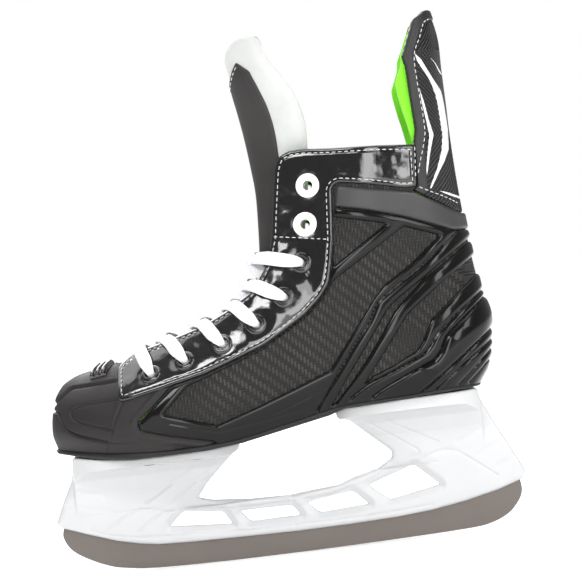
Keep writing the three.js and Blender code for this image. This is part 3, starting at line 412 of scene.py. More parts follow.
def patent_material():
    m = shader("patent_leather", (0.012, 0.0115, 0.0115), 0.1, coat=0.4, coat_rough=0.04, specular=0.6)
    k = Nodes(m)
    wave = k.noise(k.where(), 60, 2.0, 0.4)
    fine = k.noise(k.where(), 900, 2.0)
    k.roughness(k.ramp(fine, 0.08, 0.16, 0.3, 0.7))
    k.bump(k.math("ADD", k.math("MULTIPLY", wave, 6.0), k.math("MULTIPLY", fine, 0.03)), 0.3 * MM)
    return m


def steel_material():
    m = shader("runner_steel", (0.43, 0.41, 0.39), 0.42, metal=0.85)
    k = Nodes(m)
    lines = k.noise(k.stretched(k.where(), (30, 900, 2400)), 1.0, 3.0)
    broad = k.noise(k.stretched(k.where(), (14, 14, 40)), 1.0, 3.0)
    k.colour(k.mix(k.math("ADD", k.math("MULTIPLY", lines, 0.5), k.math("MULTIPLY", broad, 0.5)),
                   (0.11, 0.097, 0.088), (0.215, 0.19, 0.174)))
    k.roughness(k.ramp(lines, 0.42, 0.6, 0.3, 0.7))
    k.bump(lines, 0.035 * MM)
    return m


def felt_material(name, colour, depth=0.25, sheen=0.25):
    m = shader(name, colour, 0.95, sheen=sheen)
    k = Nodes(m)
    fibre = k.noise(k.where(), 1500, 4.0, 0.7)
    broad = k.noise(k.where(), 60, 3.0)
    dark = tuple(c * 0.9 for c in colour)
    k.colour(k.mix(k.ramp(broad, 0, 1, 0.35, 0.65), dark, colour))
    k.bump(fibre, depth * MM)
    return m


def lace_material(name="lace_white"):
    """Flat woven lace: cross ribs of twill along its run, with painted shade between the ribs."""
    m = shader(name, (0.88, 0.89, 0.93), 0.8, sheen=0.3)
    k = Nodes(m)
    run, across, _ = k.split(k.where("flow"))
    slant = [k.math("SINE", k.math("MULTIPLY", k.math(op, k.math("MULTIPLY", run, 1.0), across), 6.2))
             for op in ("ADD", "SUBTRACT")]
    threads = k.math("MAXIMUM", *slant)
    # painted shade: the lace is coloured darker in the hollows between its twill ribs
    k.colour(k.mix(k.ramp(threads, 0, 1, -0.6, 1.0), (0.72, 0.73, 0.78), (0.93, 0.94, 0.97)))
    k.bump(threads, 0.12 * MM)
    return m


RIDGE = 2.6  # from one ridge of the guard to the next, mm


def guard_material():
    """Moulded guard: fine slanting ridges that change direction down its back, with painted shade in their
    troughs and painted highlight on their crests.
    """
    m = shader("guard_plastic", (0.022, 0.021, 0.021), 0.42, specular=0.35)
    k = Nodes(m)
    ridge = k.math("SINE", k.math("MULTIPLY", k.split(k.where("flow"))[0], 2 * math.pi / RIDGE))
    # painted shade in the ridge troughs and painted highlight on the crests, following the bump
    k.colour(k.mix(k.ramp(ridge, 0, 1, -0.5, 1), (0.008, 0.0075, 0.0075), (0.036, 0.0345, 0.0345)))
    k.bump(ridge, 0.22 * MM)
    return m


MATERIALS = {
    "steel": steel_material(),
    "fastener": grained("fastener_steel", (0.3, 0.29, 0.28), 0.4, 0.6, 0.03, metal=0.9),
    "rivet": grained("rivet_steel", (0.12, 0.115, 0.11), 0.4, 0.6, 0.03, metal=0.8),
    "holder": grained("holder_white", (0.55, 0.555, 0.563), 0.36, 1.4, 0.02, lighter=1.03),
    "sole": grained("sole_black", (0.014, 0.0135, 0.0135), 0.5, 0.7, 0.08, specular=0.3),
    "board": grained("board", (0.42, 0.35, 0.26), 0.8, 0.8, 0.1),
    "counter": grained("counter_board", (0.08, 0.08, 0.08), 0.7, 0.8, 0.1),
    "weave": weave_material(),
    "cage": grained("cage_gloss", (0.0055, 0.005, 0.0048), 0.2, 1.0, 0.012, spread=0.08, coat=0.2,
                    coat_rough=0.05, specular=0.15),
    "patent": patent_material(),
    "gloss": grained("eyelet_black", (0.006, 0.006, 0.006), 0.16, 1.5, 0.01, spread=0.05, coat=1.0,
                     coat_rough=0.05),
    "enamel": grained("eyelet_white", (0.85, 0.86, 0.84), 0.3, 1.5, 0.01, lighter=1.05),
    "band": grained("band_rubber", (0.024, 0.023, 0.023), 0.42, 0.7, 0.08),
    "cap": grained("cap_plastic", (0.016, 0.014, 0.0138), 0.56, 0.65, 0.16, specular=0.3),
    "guard": guard_material(),
    "trim": grained("guard_trim", (0.016, 0.015, 0.015), 0.45, 0.8, 0.08, specular=0.35),
    "stripe": grained("guard_stripe", (0.62, 0.64, 0.67), 0.45, 0.8, 0.02, lighter=1.15),
    "green": felt_material("green_lining", (0.2, 0.72, 0.02), 0.15),
    "cover": grained("tongue_cover", (0.024, 0.0222, 0.0216), 0.5, 0.6, 0.12, specular=0.3),
    "felt": felt_material("tongue_felt", (0.56, 0.57, 0.56), sheen=0.05),
    "bed": felt_material("footbed_foam", (0.05, 0.05, 0.055), 0.2),
    "lace": lace_material(),
    "clear": grained("lace_tip", (0.75, 0.75, 0.76), 0.2, 1.5, 0.01),
    "thread": grained("thread", (0.5, 0.5, 0.5), 0.7, 0.3, 0.05, lighter=1.15),
}


# ------------------------------------------------------------------ geometry helpers
def catmull(a, b, c, d, t):
    return 0.5 * (2 * b + (c - a) * t + (2 * a - 5 * b + 4 * c - d) * t**2 + (3 * b - a - 3 * c + d) * t**3)


def bordered(net):
    """A net with one more column and row all round, so that it can be interpolated to its edges."""
    net = np.array(net, float)
    flip = np.array([1, -1, 1])
    closed = abs(net[-1][0][1]) < 1e-9
    last = net[-2] * flip if closed else 2 * net[-1] - net[-2]
    net = np.concatenate([[net[1] * flip], net, [last]])
    return np.concatenate([2 * net[:, :1] - net[:, 1:2], net, 2 * net[:, -1:] - net[:, -2:-1]], axis=1)


def on_net(net, u, v):
    n, m = net.shape[0] - 3, net.shape[1] - 3
    cu = np.abs(u)
    i = np.minimum(np.floor(cu), n - 1).astype(int)
    j = np.clip(np.floor(v), 0, m - 1).astype(int)
    s, t = (cu - i)[..., None], (v - j)[..., None]
    rows = [catmull(*(net[i + p, j + q] for p in range(4)), s) for q in range(4)]
    out = catmull(*rows, t)
    out[..., 1] *= np.where(u < 0, -1, 1)
    return out


def unit(v):
    return v / np.maximum(np.linalg.norm(v, axis=-1, keepdims=True), 1e-12)


def net_normal(net, u, v, e=0.02):
    du = on_net(net, u + e, v) - on_net(net, u - e, v)
    dv = on_net(net, u, v + e) - on_net(net, u, v - e)
    return unit(np.cross(dv, du))


BOOT_NET, GUARD_NET = bordered(BOOT), bordered(GUARD)


def smoothstep(x, a, b):
    t = np.clip((x - a) / (b - a), 0, 1)
    return t * t * (3 - 2 * t)


def leaned(p):
    """Moves points of the boot sideways by the lean of the last."""
    out = np.array(p, float)
    out[..., 1] -= TOE_SKEW * smoothstep(out[..., 0], 45, 128)
    return out


def segment_distance(q, line, closed=False):
    """Distance from each of q to a polyline."""
    line = np.asarray(line, float)
    ends = np.roll(line, -1, axis=0) if closed else line[1:]
    best = np.full(len(q), np.inf)
    for a, b in zip(line, ends):
        d = b - a
        t = np.clip(((q - a) @ d) / max(d @ d, 1e-12), 0, 1)
        best = np.minimum(best, ((q - a - t[:, None] * d) ** 2).sum(1))
    return np.sqrt(best)


def inside(q, outline):
    """Signed distance to a closed outline, positive within it."""
    line = np.asarray(outline, float)
    hit = np.zeros(len(q), bool)
    for a, b in zip(line, np.roll(line, -1, axis=0)):
        crosses = (a[1] > q[:, 1]) != (b[1] > q[:, 1])
        if a[1] != b[1]:
            hit ^= crosses & (q[:, 0] < a[0] + (q[:, 1] - a[1]) * (b[0] - a[0]) / (b[1] - a[1]))
    return segment_distance(q, line, True) * np.where(hit, 1, -1)


def rounded(outline, r, closed=True):
    """The outline with each corner turned into a short curve that starts r before it."""
    pts = np.asarray(outline, float)
    out = []
    n = len(pts)
    for i in range(n):
        if not closed and i in (0, n - 1):
            out.append(pts[i])
            continue
        p, a, b = pts[i], pts[i - 1] - pts[i], pts[(i + 1) % n] - pts[i]
        la, lb = np.linalg.norm(a), np.linalg.norm(b)
        s, e = p + a * min(r / la, 0.45), p + b * min(r / lb, 0.45)
        out += [(1 - t) ** 2 * s + 2 * t * (1 - t) * p + t * t * e for t in (0, 0.25, 0.5, 0.75, 1)]
    return np.array(out)


def curve(points, step=1.0, closed=False):
    """A smooth curve through points, with points about step apart."""
    p = np.asarray(points, float)
    ext = np.concatenate([p[-1:], p, p[:2]]) if closed else np.concatenate(
        [2 * p[:1] - p[1:2], p, 2 * p[-1:] - p[-2:-1]])
    out = []
    for i in range(len(ext) - 3):
        k = max(1, int(np.linalg.norm(ext[i + 2] - ext[i + 1]) / step))
        out += [catmull(*ext[i:i + 4], t) for t in np.arange(k) / k]
    return np.array(out if closed else out + [p[-1]])


def spaced(line, step):
    line = np.asarray(line, float)
    run = np.concatenate([[0], np.cumsum(np.linalg.norm(np.diff(line, axis=0), axis=1))])
    at = np.linspace(0, run[-1], max(2, int(round(run[-1] / step)) + 1))
    return np.stack([np.interp(at, run, line[:, k]) for k in range(line.shape[1])], 1)


def offset_line(line, d):
    """The line moved sideways by d, to its left as it runs."""
    line = np.asarray(line, float)
    t = np.gradient(line, axis=0)
    t = unit(t)
    return line + d * np.stack([-t[:, 1], t[:, 0]], 1)


def lattice(n, m):
    """Triangles of an n by m grid of points."""
    i, j = np.meshgrid(np.arange(n - 1), np.arange(m - 1), indexing="ij")
    a = (i * m + j).ravel()
    return np.concatenate([np.stack([a, a + m, a + m + 1], 1), np.stack([a, a + m + 1, a + 1], 1)])


def cut(tris, keep, *values):
    """Cuts triangles along keep = 0 and drops the negative side. Values are carried to the cut."""
    ins = keep > 0
    count = ins[tris].sum(1)
    whole = tris[count == 3]
    lone_in, lone_out = tris[count == 1], tris[count == 2]

    def turned(t, lone):
        k = np.argmax(lone[t], axis=1)
        rows = np.arange(len(t))
        return t[rows, k], t[rows, (k + 1) % 3], t[rows, (k + 2) % 3]

    a1, b1, c1 = turned(lone_in, ins)
    a2, b2, c2 = turned(lone_out, ~ins)
    pairs = np.concatenate([np.stack(p, 1) for p in ((a1, b1), (a1, c1), (a2, b2), (a2, c2))])
    pairs.sort(axis=1)
    edges, at = np.unique(pairs, axis=0, return_inverse=True)
    at = at.reshape(-1) + len(keep)
    n1, n2 = len(a1), len(a2)
    ab1, ac1, ab2, ac2 = at[:n1], at[n1:2 * n1], at[2 * n1:2 * n1 + n2], at[2 * n1 + n2:]
    new = np.concatenate([
        whole, np.stack([a1, ab1, ac1], 1), np.stack([ab2, b2, c2], 1), np.stack([ab2, c2, ac2], 1)])
    k0, k1 = keep[edges[:, 0]], keep[edges[:, 1]]
    t = np.clip(k0 / np.where(k0 == k1, 1, k0 - k1), 0.02, 0.98)
    used, new = np.unique(new, return_inverse=True)
    out = []
    for value in (keep, *values):
        w = t if value.ndim == 1 else t[:, None]
        joined = np.concatenate([value, value[edges[:, 0]] * (1 - w) + value[edges[:, 1]] * w])
        out.append(joined[used])
    return new.reshape(-1, 3), *out


def closed_shell(tris, top, bottom):
    """Points and faces of the closed body between two copies of an open patch."""
    n = len(top)
    e = np.concatenate([tris[:, [0, 1]], tris[:, [1, 2]], tris[:, [2, 0]]])
    key, back = e[:, 0] * n + e[:, 1], e[:, 1] * n + e[:, 0]
    rim = e[~np.isin(key, back)]
    a, b = rim[:, 0], rim[:, 1]
    walls = [np.stack([b, a, a + n], 1), np.stack([b, a + n, b + n], 1)]
    faces = np.concatenate([tris, tris[:, ::-1] + n, *walls])
    return np.concatenate([top, bottom]), faces


def outward(points, faces):
    a, b, c = (points[faces[:, k]] for k in range(3))
    return faces if (a * np.cross(b, c)).sum() > 0 else faces[:, ::-1]


def piece(name, points, faces, look, body="boot", slot=None, stands_for=(), flow=None, sharp=40, ride=True):
    """A mesh object from points in millimetres; flow is a vector per point for its material."""
    points = np.asarray(points, float)
    faces = outward(points, np.asarray(faces))
    mesh = bpy.data.meshes.new(name)
    mesh.vertices.add(len(points))
    mesh.vertices.foreach_set("co", (points * MM).astype(np.float32).ravel())
    mesh.loops.add(faces.size)
    mesh.loops.foreach_set("vertex_index", faces.astype(np.int32).ravel())
    mesh.polygons.add(len(faces))
    mesh.polygons.foreach_set("loop_start", np.arange(0, faces.size, faces.shape[1], dtype=np.int32))
    mesh.polygons.foreach_set("use_smooth", np.ones(len(faces), bool))
    mesh.update(calc_edges=True)
    mesh.validate()
    if sharp:
        mesh.set_sharp_from_angle(angle=math.radians(sharp))
    if flow is not None:
        flow = np.asarray(flow, float)
        full = np.zeros((len(points), 3), np.float32)
        full[:, :flow.shape[1]] = flow
        mesh.attributes.new("flow", "FLOAT_VECTOR", "POINT").data.foreach_set("vector", full.ravel())
    mesh.materials.append(MATERIALS[look])
    obj = bpy.data.objects.new(name, mesh)
    bpy.context.scene.collection.objects.link(obj)
    if stands_for:
        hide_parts(*stands_for)
    if ride:
        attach(obj, body)
    return obj


def joined(parts):
    """Several (points, faces) bodies as one."""
    points, faces, n = [], [], 0
    for p, f in parts:
        points.append(p)
        faces.append(f + n)
        n += len(p)
    return np.concatenate(points), np.concatenate(faces)


def mirrored(p):
    return np.asarray(p) * np.array([1, -1, 1])


# ------------------------------------------------------------------ patches of the boot's surface
STEP_U, STEP_V = 0.03, 0.028


class Patch:
    """Part of a net's surface as triangles, with each point's place, normal and net coordinates."""

    def __init__(self, net, u0, u1, v0, v1, du=STEP_U, dv=STEP_V):
        us = np.linspace(u0, u1, int(round((u1 - u0) / du)) + 1)
        vs = np.linspace(v0, v1, int(round((v1 - v0) / dv)) + 1)
        u, v = (a.ravel() for a in np.meshgrid(us, vs, indexing="ij"))
        self.net = net
        self.tris = lattice(len(us), len(vs))
        self.uv = np.stack([u, v], 1)
        self.p = on_net(net, u, v)
        self.n = net_normal(net, u, v)

    def kept(self, keep):
        """The part where keep is positive; keep comes back as .edge."""
        new = object.__new__(Patch)
        new.net = self.net
        new.tris, new.edge, new.uv, new.p, new.n = cut(self.tris, keep, self.uv, self.p, self.n)
        new.n = unit(new.n)
        return new

    @property
    def xz(self):
        return self.p[:, [0, 2]]

    def raised(self, h):
        return self.p + self.n * np.asarray(h, float).reshape(-1, 1)

    def shell(self, high, low):
        return closed_shell(self.tris, self.raised(high), self.raised(low * np.ones(len(self.p))))


turn_u = np.linspace(0, 18, 721)
turn_p = on_net(BOOT_NET, turn_u, np.full(721, 2.5))
turn_run = np.concatenate([[0], np.cumsum(np.linalg.norm(np.diff(turn_p, axis=0), axis=1))])
wrap_of = turn_run - (turn_p[:, 0] - turn_p[0, 0])


def flow_of(patch):
    """Millimetres along and up the surface, continued round the heel."""
    return np.stack([patch.p[:, 0] - np.interp(np.abs(patch.uv[:, 0]), turn_u, wrap_of), patch.p[:, 2]], 1)


def hill(d, width):
    """1 where d is 0, falling away to nothing over about twice the width."""
    return np.exp(-((d / width) ** 2))


def bulge(d, width):
    """0 at an edge, rising on a quarter circle to 1 at that width."""
    t = np.clip(d / width, 0, 1)
    return np.sqrt(np.clip(1 - (1 - t) ** 2, 0, 1))


half_boot = Patch(BOOT_NET, 0, 15.6, 0, 6)
finder = KDTree(len(half_boot.p))
sided = half_boot.n[:, 1] > 0.02
for index in np.flatnonzero(sided)[::5]:
    finder.insert((half_boot.p[index, 0], 0, half_boot.p[index, 2]), int(index))
finder.balance()


def located(xz):
    """Net coordinates of side-view places on the outer half of the boot."""
    xz = np.asarray(xz, float)
    start = [finder.find((x, 0, z))[1] for x, z in xz]
    u, v = half_boot.uv[start].T.copy()
    for _ in range(4):
        p = on_net(BOOT_NET, u, v)[:, [0, 2]]
        pu = (on_net(BOOT_NET, u + 0.01, v)[:, [0, 2]] - p) / 0.01
        pv = (on_net(BOOT_NET, u, v + 0.01)[:, [0, 2]] - p) / 0.01
        miss = xz - p
        det = pu[:, 0] * pv[:, 1] - pu[:, 1] * pv[:, 0]
        det = np.where(np.abs(det) < 1, np.sign(det + 1e-9), det)
        u = u + np.clip((miss[:, 0] * pv[:, 1] - miss[:, 1] * pv[:, 0]) / det, -0.2, 0.2)
        v = v + np.clip((pu[:, 0] * miss[:, 1] - pu[:, 1] * miss[:, 0]) / det, -0.2, 0.2)
        u, v = np.clip(u, 0.02, 17.9), np.clip(v, -0.2, 6.6)
    return u, v


def on_boot(xz, lift=0.0):
    """Points and normals above side-view places on the outer half of the boot."""
    u, v = located(xz)
    n = net_normal(BOOT_NET, u, v)
    return on_net(BOOT_NET, u, v) + n * np.asarray(lift, float).reshape(-1, 1), n


def both_sides(name, build, look, slot, stands_for, **more):
    """A left piece and its mirror image. build gives points, faces and perhaps flow, for the left one."""
    points, faces, flow = build
    made = []
    for side, flip in (("left", 1), ("right", -1)):
        p = leaned(points * np.array([1, flip, 1]))
        made.append(piece(f"{name}_{side}", p, faces, look, slot=slot,
                          stands_for=[f"{s}_{side}" for s in stands_for], flow=flow, **more))
    return made


# ------------------------------------------------------------------ sewing
STITCH, STITCH_GAP, THREAD_R = 2.3, 1.3, 0.29


def capsule(a, b, up, r):
    """A flattened thread from a to b, lying with its ends pushed down."""
    axis = b - a
    side = unit(np.cross(axis, up))
    up = unit(np.cross(side, axis))
    rings, ts = [], np.array([0, 0.12, 0.35, 0.65, 0.88, 1])
    sizes, sink = np.array([0.35, 0.9, 1, 1, 0.9, 0.35]), np.array([-0.5, 0, 0.15, 0.15, 0, -0.5])
    angles = np.arange(6) * math.pi / 3
    for t, s, d in zip(ts, sizes, sink):
        centre = a + axis * t + up * d * r * 1.2
        rings.append(centre + (np.outer(np.cos(angles), side) + np.outer(np.sin(angles), up)) * r * s)
    return tube(rings)


def tube(rings, cyclic=False):
    rings = np.asarray(rings)
    n, m = rings.shape[:2]
    faces = []
    for i in range(n if cyclic else n - 1):
        for j in range(m):
            a, b = i * m + j, i * m + (j + 1) % m
            c, d = ((i + 1) % n) * m + (j + 1) % m, ((i + 1) % n) * m + j
            faces += [(a, b, c), (a, c, d)]
    if not cyclic:
        for base, order in ((0, -1), ((n - 1) * m, 1)):
            faces += [(base, *(base + k, base + k + 1)[::order]) for k in range(1, m - 1)]
    return rings.reshape(-1, 3), np.array(faces)


def stitches(points, normals, r=THREAD_R):
    """Dashes of thread along a line of points on a surface."""
    run = np.concatenate([[0], np.cumsum(np.linalg.norm(np.diff(points, axis=0), axis=1))])
    at = np.arange(0.3, run[-1] - STITCH, STITCH + STITCH_GAP)
    get = lambda s, a: np.stack([np.interp(s, run, a[:, k]) for k in range(3)], 1)
    starts, ends, ups = get(at, points), get(at + STITCH, points), get(at + STITCH / 2, normals)
    return joined([capsule(a, b, n, r) for a, b, n in zip(starts, ends, ups)])


def sewn_on_boot(lines, lift):
    out = []
    for line in lines:
        p, n = on_boot(spaced(line, 0.8), lift)
        out.append(stitches(p, n))
    return joined(out)


# ------------------------------------------------------------------ boot: shells, cage and facings
RIB_L1 = [(-111, 171.8), (-91.1, 156.9), (-70.2, 143.6), (-61.6, 138.1), (-56, 128), (-42.7, 111.5),
          (-25.8, 88.1), (-21, 81.4)]
RIB_L2 = [(-130, 177), (-114.9, 167), (-87.4, 148.7), (-70.2, 137.8), (-65.3, 133.4), (-55, 119.5),
          (-38.3, 97.9), (-28.1, 83.8)]
RIB_L3 = [(-130, 171), (-115.7, 161.9), (-89.2, 145.6), (-75.6, 134.3), (-70.6, 129.1), (-62, 117.2),
          (-53.4, 106), (-42.2, 92.9), (-32.5, 82.7)]
RIB_L4 = [(-130, 142.5), (-120.3, 136.1), (-106.5, 126.9), (-92.1, 115.7), (-87.8, 109), (-84.4, 105.8),
          (-67, 98.5), (-51.9, 93.1), (-39.7, 85.7)]
RIB_L5 = [(-130, 138.8), (-120.5, 131.7), (-105.8, 120.5), (-97.7, 114.3), (-93.1, 105.4), (-89, 101.2),
          (-73.9, 95.5), (-58.6, 88.7), (-52, 84.8)]
RIB_L6 = [(-130, 119.2), (-123.6, 114.7), (-103.5, 100.5), (-79.7, 83.9)]
RIB_L7 = [(-130, 113), (-122, 107.7), (-109.5, 99.9), (-88.4, 84.9)]
RIB_L8 = [(-130, 108.6), (-120.8, 102), (-101.9, 86.2)]
RIB_L9 = [(-130, 103), (-119, 96), (-108, 86.5)]
GROOVES = [RIB_L1, RIB_L4, RIB_L5, RIB_L6, RIB_L7, RIB_L8, RIB_L9]
FAINT = [[(10.8, 80), (-21.9, 91.6), (-14, 80)], [(-10.8, 81.6), (-26.5, 94.9), (-20, 80)],
         [(62, 84.5), (36, 76.5), (8, 80), (-18, 84)]]
HEEL_PANEL = RIB_L5[:6] + [(-79.7, 97.6), (-90, 91)] + RIB_L6[::-1][1:]
WEAVE_PANELS = [
    PANELS[0],
    [(-42.9, 187.7), (-71.4, 180.6), (-39.5, 160.2)],
    [(-130, 164), (-117.5, 155.9), (-99.1, 144.4), (-77, 128.3), (-71.8, 121.7), (-63.3, 110.6),
     (-53.2, 98.1), (-48.6, 92.3), (-53.7, 96.2), (-67.2, 101.4), (-80.3, 107.8), (-84.5, 113),
     (-90.1, 123.9), (-107.7, 137.6), (-118.6, 145), (-130, 153)],
    [(x - 0.9, z - 1.1) for x, z in RIB_L2] + [(x + 0.9, z + 1.1) for x, z in RIB_L3[::-1]],
]
QUARTER = ([(-135, 60)] + [(x - 0.3, z) for x, z in TOE_SEAM] + FACING_EDGE[1:14][::-1]
           + [(-92.2, 223), (-91, 199.7), (-88.2, 196.8), (-114.7, 182.2), (-135, 181)])
CAP = [(150, 60), (150, 150), (93, 150), (90.5, 119.4), (86, 120), (79.5, 124), (61, 128.4), (58, 129),
       (55.4, 110), (61.5, 103.1), (80.3, 86.6), (79.2, 81.7), (63.3, 76.6), (39.3, 70.7), (36.6, 60)]
FACING = rounded(FACING_EDGE + FACING_LOWER, 2.5)

eyelet_xz = np.array(BLACK_EYELETS + WHITE_EYELETS)
eyelet_u, eyelet_v = located(eyelet_xz)
eyelet_p, eyelet_n = on_net(BOOT_NET, eyelet_u, eyelet_v), net_normal(BOOT_NET, eyelet_u, eyelet_v)
HOLE_R = 2.7
SHELL = 1.7     # thickness of the quarters and the toe cap
HEM = 2.5       # from the edge of the facing to its sewing


def from_eyelets(p):
    return np.min([np.linalg.norm(p - c, axis=1) for c in eyelet_p], axis=0)


def quarter():
    keep = np.minimum(inside(half_boot.xz, QUARTER), from_eyelets(half_boot.p) - HOLE_R)
    s = half_boot.kept(keep)
    points, faces = s.shell(np.zeros(len(s.p)), -SHELL)
    return points, faces, np.tile(flow_of(s), (2, 1))


def cage():
    keep = inside(half_boot.xz, rounded(CAGE, 1.2))
    for panel in WEAVE_PANELS:
        keep = np.minimum(keep, -inside(half_boot.xz, rounded(panel, 1.0)))
    s = half_boot.kept(keep)
    d = s.edge.copy()
    for line in GROOVES:
        d = np.minimum(d, segment_distance(s.xz, rounded(line, 2.5, False)) - 0.15)
    high = 0.35 + 1.45 * bulge(np.maximum(d, 0), 2.6)
    faint = np.min([segment_distance(s.xz, f) for f in FAINT], axis=0)
    high -= 0.35 * hill(faint, 0.6)
    panel = inside(s.xz, HEEL_PANEL)
    high += 1.7 * bulge(np.maximum(panel, 0), 9.0) ** 1.5
    points, faces = s.shell(high, 0.05)
    return points, faces, None


def ripples(q):
    """Slow unevenness of soft leather, in millimetres."""
    x, z = q.T
    slow = np.sin(x / 8.5 + z / 15) * np.sin(z / 10.5 - x / 19 + 1)
    return 0.5 * slow + 0.25 * np.sin(x / 4.6 - z / 7.2 + 2)


def facing():
    keep = np.minimum(inside(half_boot.xz, FACING), from_eyelets(half_boot.p) - HOLE_R)
    s = half_boot.kept(keep)
    rim = np.maximum(inside(s.xz, FACING), 0)
    r = from_eyelets(s.p)
    high = 0.4 + 1.15 * bulge(rim, 1.7) - 0.3 * hill(rim - 2.5, 0.7)
    high += 0.32 * ripples(s.xz) * smoothstep(rim, 1.5, 6) - 0.55 * np.exp(-((r / 7.5) ** 4))
    points, faces = s.shell(high, 0.1)
    return points, faces, None


both_sides("weave_shell", quarter(), "weave", "carbon_weave", ["quarter"], sharp=50)
both_sides("ribbed_cage", cage(), "cage", "cage_gloss", ["side_cage"], sharp=60)
both_sides("patent_facing", facing(), "patent", "patent_leather", ["facing"], sharp=60)

loop = spaced(np.concatenate([FACING, FACING[:1]]), 1.0)
loop = offset_line(loop, HEM if inside(offset_line(loop, HEM)[:1], FACING)[0] > 0 else -HEM)
cross_seam = [(-8.5, 180.6), (-40.5, 175.2)]
seams = [loop[(inside(loop, FACING) > 2.0) | (loop[:, 0] < -88)], cross_seam,
         [(-92.2, 222.0), (-90.4, 202.0)]]
thread_points, thread_faces = sewn_on_boot(seams, 1.62)
both_sides("facing_thread", (thread_points, thread_faces, None), "thread", "patent_leather", [], sharp=0)


def ankle_strap():
    s = Patch(BOOT_NET, -6.4, 6.4, 3.4, 6)
    s = s.kept(inside(s.xz, rounded(BAND, 1.5)))
    points, faces = s.shell(0.5 + 1.25 * bulge(s.edge, 1.8), 0.1)
    return leaned(points), faces


piece("ankle_strap", *ankle_strap(), "band", slot="band_rubber", stands_for=["ankle_band"], sharp=60)


def doubled(s, high, low):
    """Closed body of a half patch and its mirror image, welded on the middle plane."""
    top, bottom = s.raised(high), s.raised(low)
    n = len(top)
    seam = np.abs(s.uv[:, 0] - 18) < 1e-6
    for p in (top, bottom):
        p[seam, 1] = 0
    other = np.where(seam, np.arange(n), np.arange(n) + n)
    tris = np.concatenate([s.tris, other[s.tris][:, ::-1]])
    used, tris = np.unique(tris, return_inverse=True)
    pick = lambda p: np.concatenate([p, mirrored(p)])[used]
    return closed_shell(tris.reshape(-1, 3), pick(top), pick(bottom))


CAP_TOP_LINE = [(131, 99), (125.1, 103.8), (117.6, 109.2), (91.2, 110.7)]
CAP_INSET = [(89.7, 100.9), (109.7, 99.7), (118.4, 97.6), (118.8, 94), (116.5, 90.6), (95.5, 83.9)]
CAP_LOWER = [(140, 97.5), (126.4, 96.9), (124.6, 90.4), (122, 85.9), (115.1, 82.5), (99, 77.4)]
CAP_CREASE = [(87.6, 98.7), (93, 89), (98.6, 73)]


def toe_cap():
    s = Patch(BOOT_NET, 7.9, 18, 0, 6)
    keep = np.minimum(inside(s.xz, rounded(CAP, 1.2)), from_eyelets(s.p) - HOLE_R)
    s = s.kept(keep)
    seam = segment_distance(s.xz, CAP[8:])
    high = 0.75 * hill(seam - 2.6, 1.4) - 0.5 * hill(seam, 0.8)
    for line, depth in ((CAP_TOP_LINE, 1.0), (CAP_INSET, 1.05), (CAP_LOWER, 1.15), (CAP_CREASE, 0.5)):
        d = segment_distance(s.xz, rounded(line, 3, False))
        high -= depth * hill(d, 0.65)
    lower = inside(s.xz, CAP_LOWER + [(60, 74), (60, 40), (140, 40)])
    crown = inside(s.xz, CAP_TOP_LINE + [(80, 111), (80, 140), (131, 140)])
    inset = inside(s.xz, rounded(CAP_INSET, 3))
    high += 0.5 * smoothstep(lower, 0, 1.2) + 0.45 * smoothstep(crown, 0, 1.2)
    high -= 0.35 * smoothstep(inset, 0, 1.2)
    points, faces = doubled(s, high, -SHELL)
    return leaned(points), faces


piece("toe_shell", *toe_cap(), "cap", slot="cap_plastic", stands_for=["toe_cap"], sharp=60)


BRIDGE_FROM, BRIDGE_SPAN, BRIDGE_SIDE = 14.0, 0.68, 4.55    # net rows it covers, and its outer column
BRIDGE_RIBS, BRIDGE_ALONG, BRIDGE_HALF = 3, 80, 40


def toe_bridge():
    """Three glossy ribs over the foot of the throat."""
    us = np.linspace(BRIDGE_FROM, BRIDGE_FROM + BRIDGE_SPAN, BRIDGE_ALONG)
    wave = lambda u: 0.5 - 0.5 * np.cos((u - BRIDGE_FROM) / BRIDGE_SPAN * 2 * math.pi * BRIDGE_RIBS)
    side_v = np.linspace(BRIDGE_SIDE, 6, BRIDGE_HALF)
    across = np.concatenate([side_v, side_v[:-1][::-1]])
    sign = np.concatenate([np.ones(BRIDGE_HALF), -np.ones(BRIDGE_HALF - 1)])
    u, v = np.meshgrid(us, across, indexing="ij")
    p = on_net(BOOT_NET, u.ravel(), v.ravel())
    n = net_normal(BOOT_NET, u.ravel(), v.ravel())
    for a in (p, n):
        a[:, 1] *= np.tile(sign, BRIDGE_ALONG)
    end = np.minimum(1, (v.ravel() - BRIDGE_SIDE) / 0.25)
    high = 0.8 + (1.2 + 1.7 * np.sqrt(wave(u.ravel()))) * bulge(end, 1)
    points, faces = closed_shell(lattice(BRIDGE_ALONG, len(across)), p + n * high[:, None], p + n * 0.4)
    return leaned(points), faces


piece("toe_ribs", *toe_bridge(), "gloss", slot="cage_gloss", stands_for=["toe_bridge"], sharp=60)


# ------------------------------------------------------------------ eyelets
def turned_ring(profile, centre, normal, n=40):
    """A profile of (radius, height) turned round a normal."""
    side = unit(np.cross(normal, [0.3, 0.1, 1.0]))
    other = np.cross(normal, side)
    angles = np.arange(n) * 2 * math.pi / n
    prof = np.asarray(profile)
    rings = [centre + np.outer(np.cos(a) * prof[:, 0], side) + np.outer(np.sin(a) * prof[:, 0], other)
             + np.outer(prof[:, 1], normal) for a in angles]
    return tube(rings, cyclic=True)


def eyelet_profile(outer, rise, hole, white):
    """Closed section of a rolled eyelet: a domed flange that turns down into its barrel."""
    mid, half = (outer + hole) / 2, (outer - hole) / 2
    flat = 0.35 if white else 1.0
    dome = [(mid + half * math.copysign(abs(math.cos(a)) ** (0.5 if white else 1.0), math.cos(a)),
             0.7 + rise * abs(math.sin(a)) ** flat) for a in np.linspace(0, math.pi, 17)]
    foot = -1.8 if white else -3.2
    return dome + [(hole - 0.1, foot), (hole + 0.35, foot), (hole + 0.45, 0.5)]


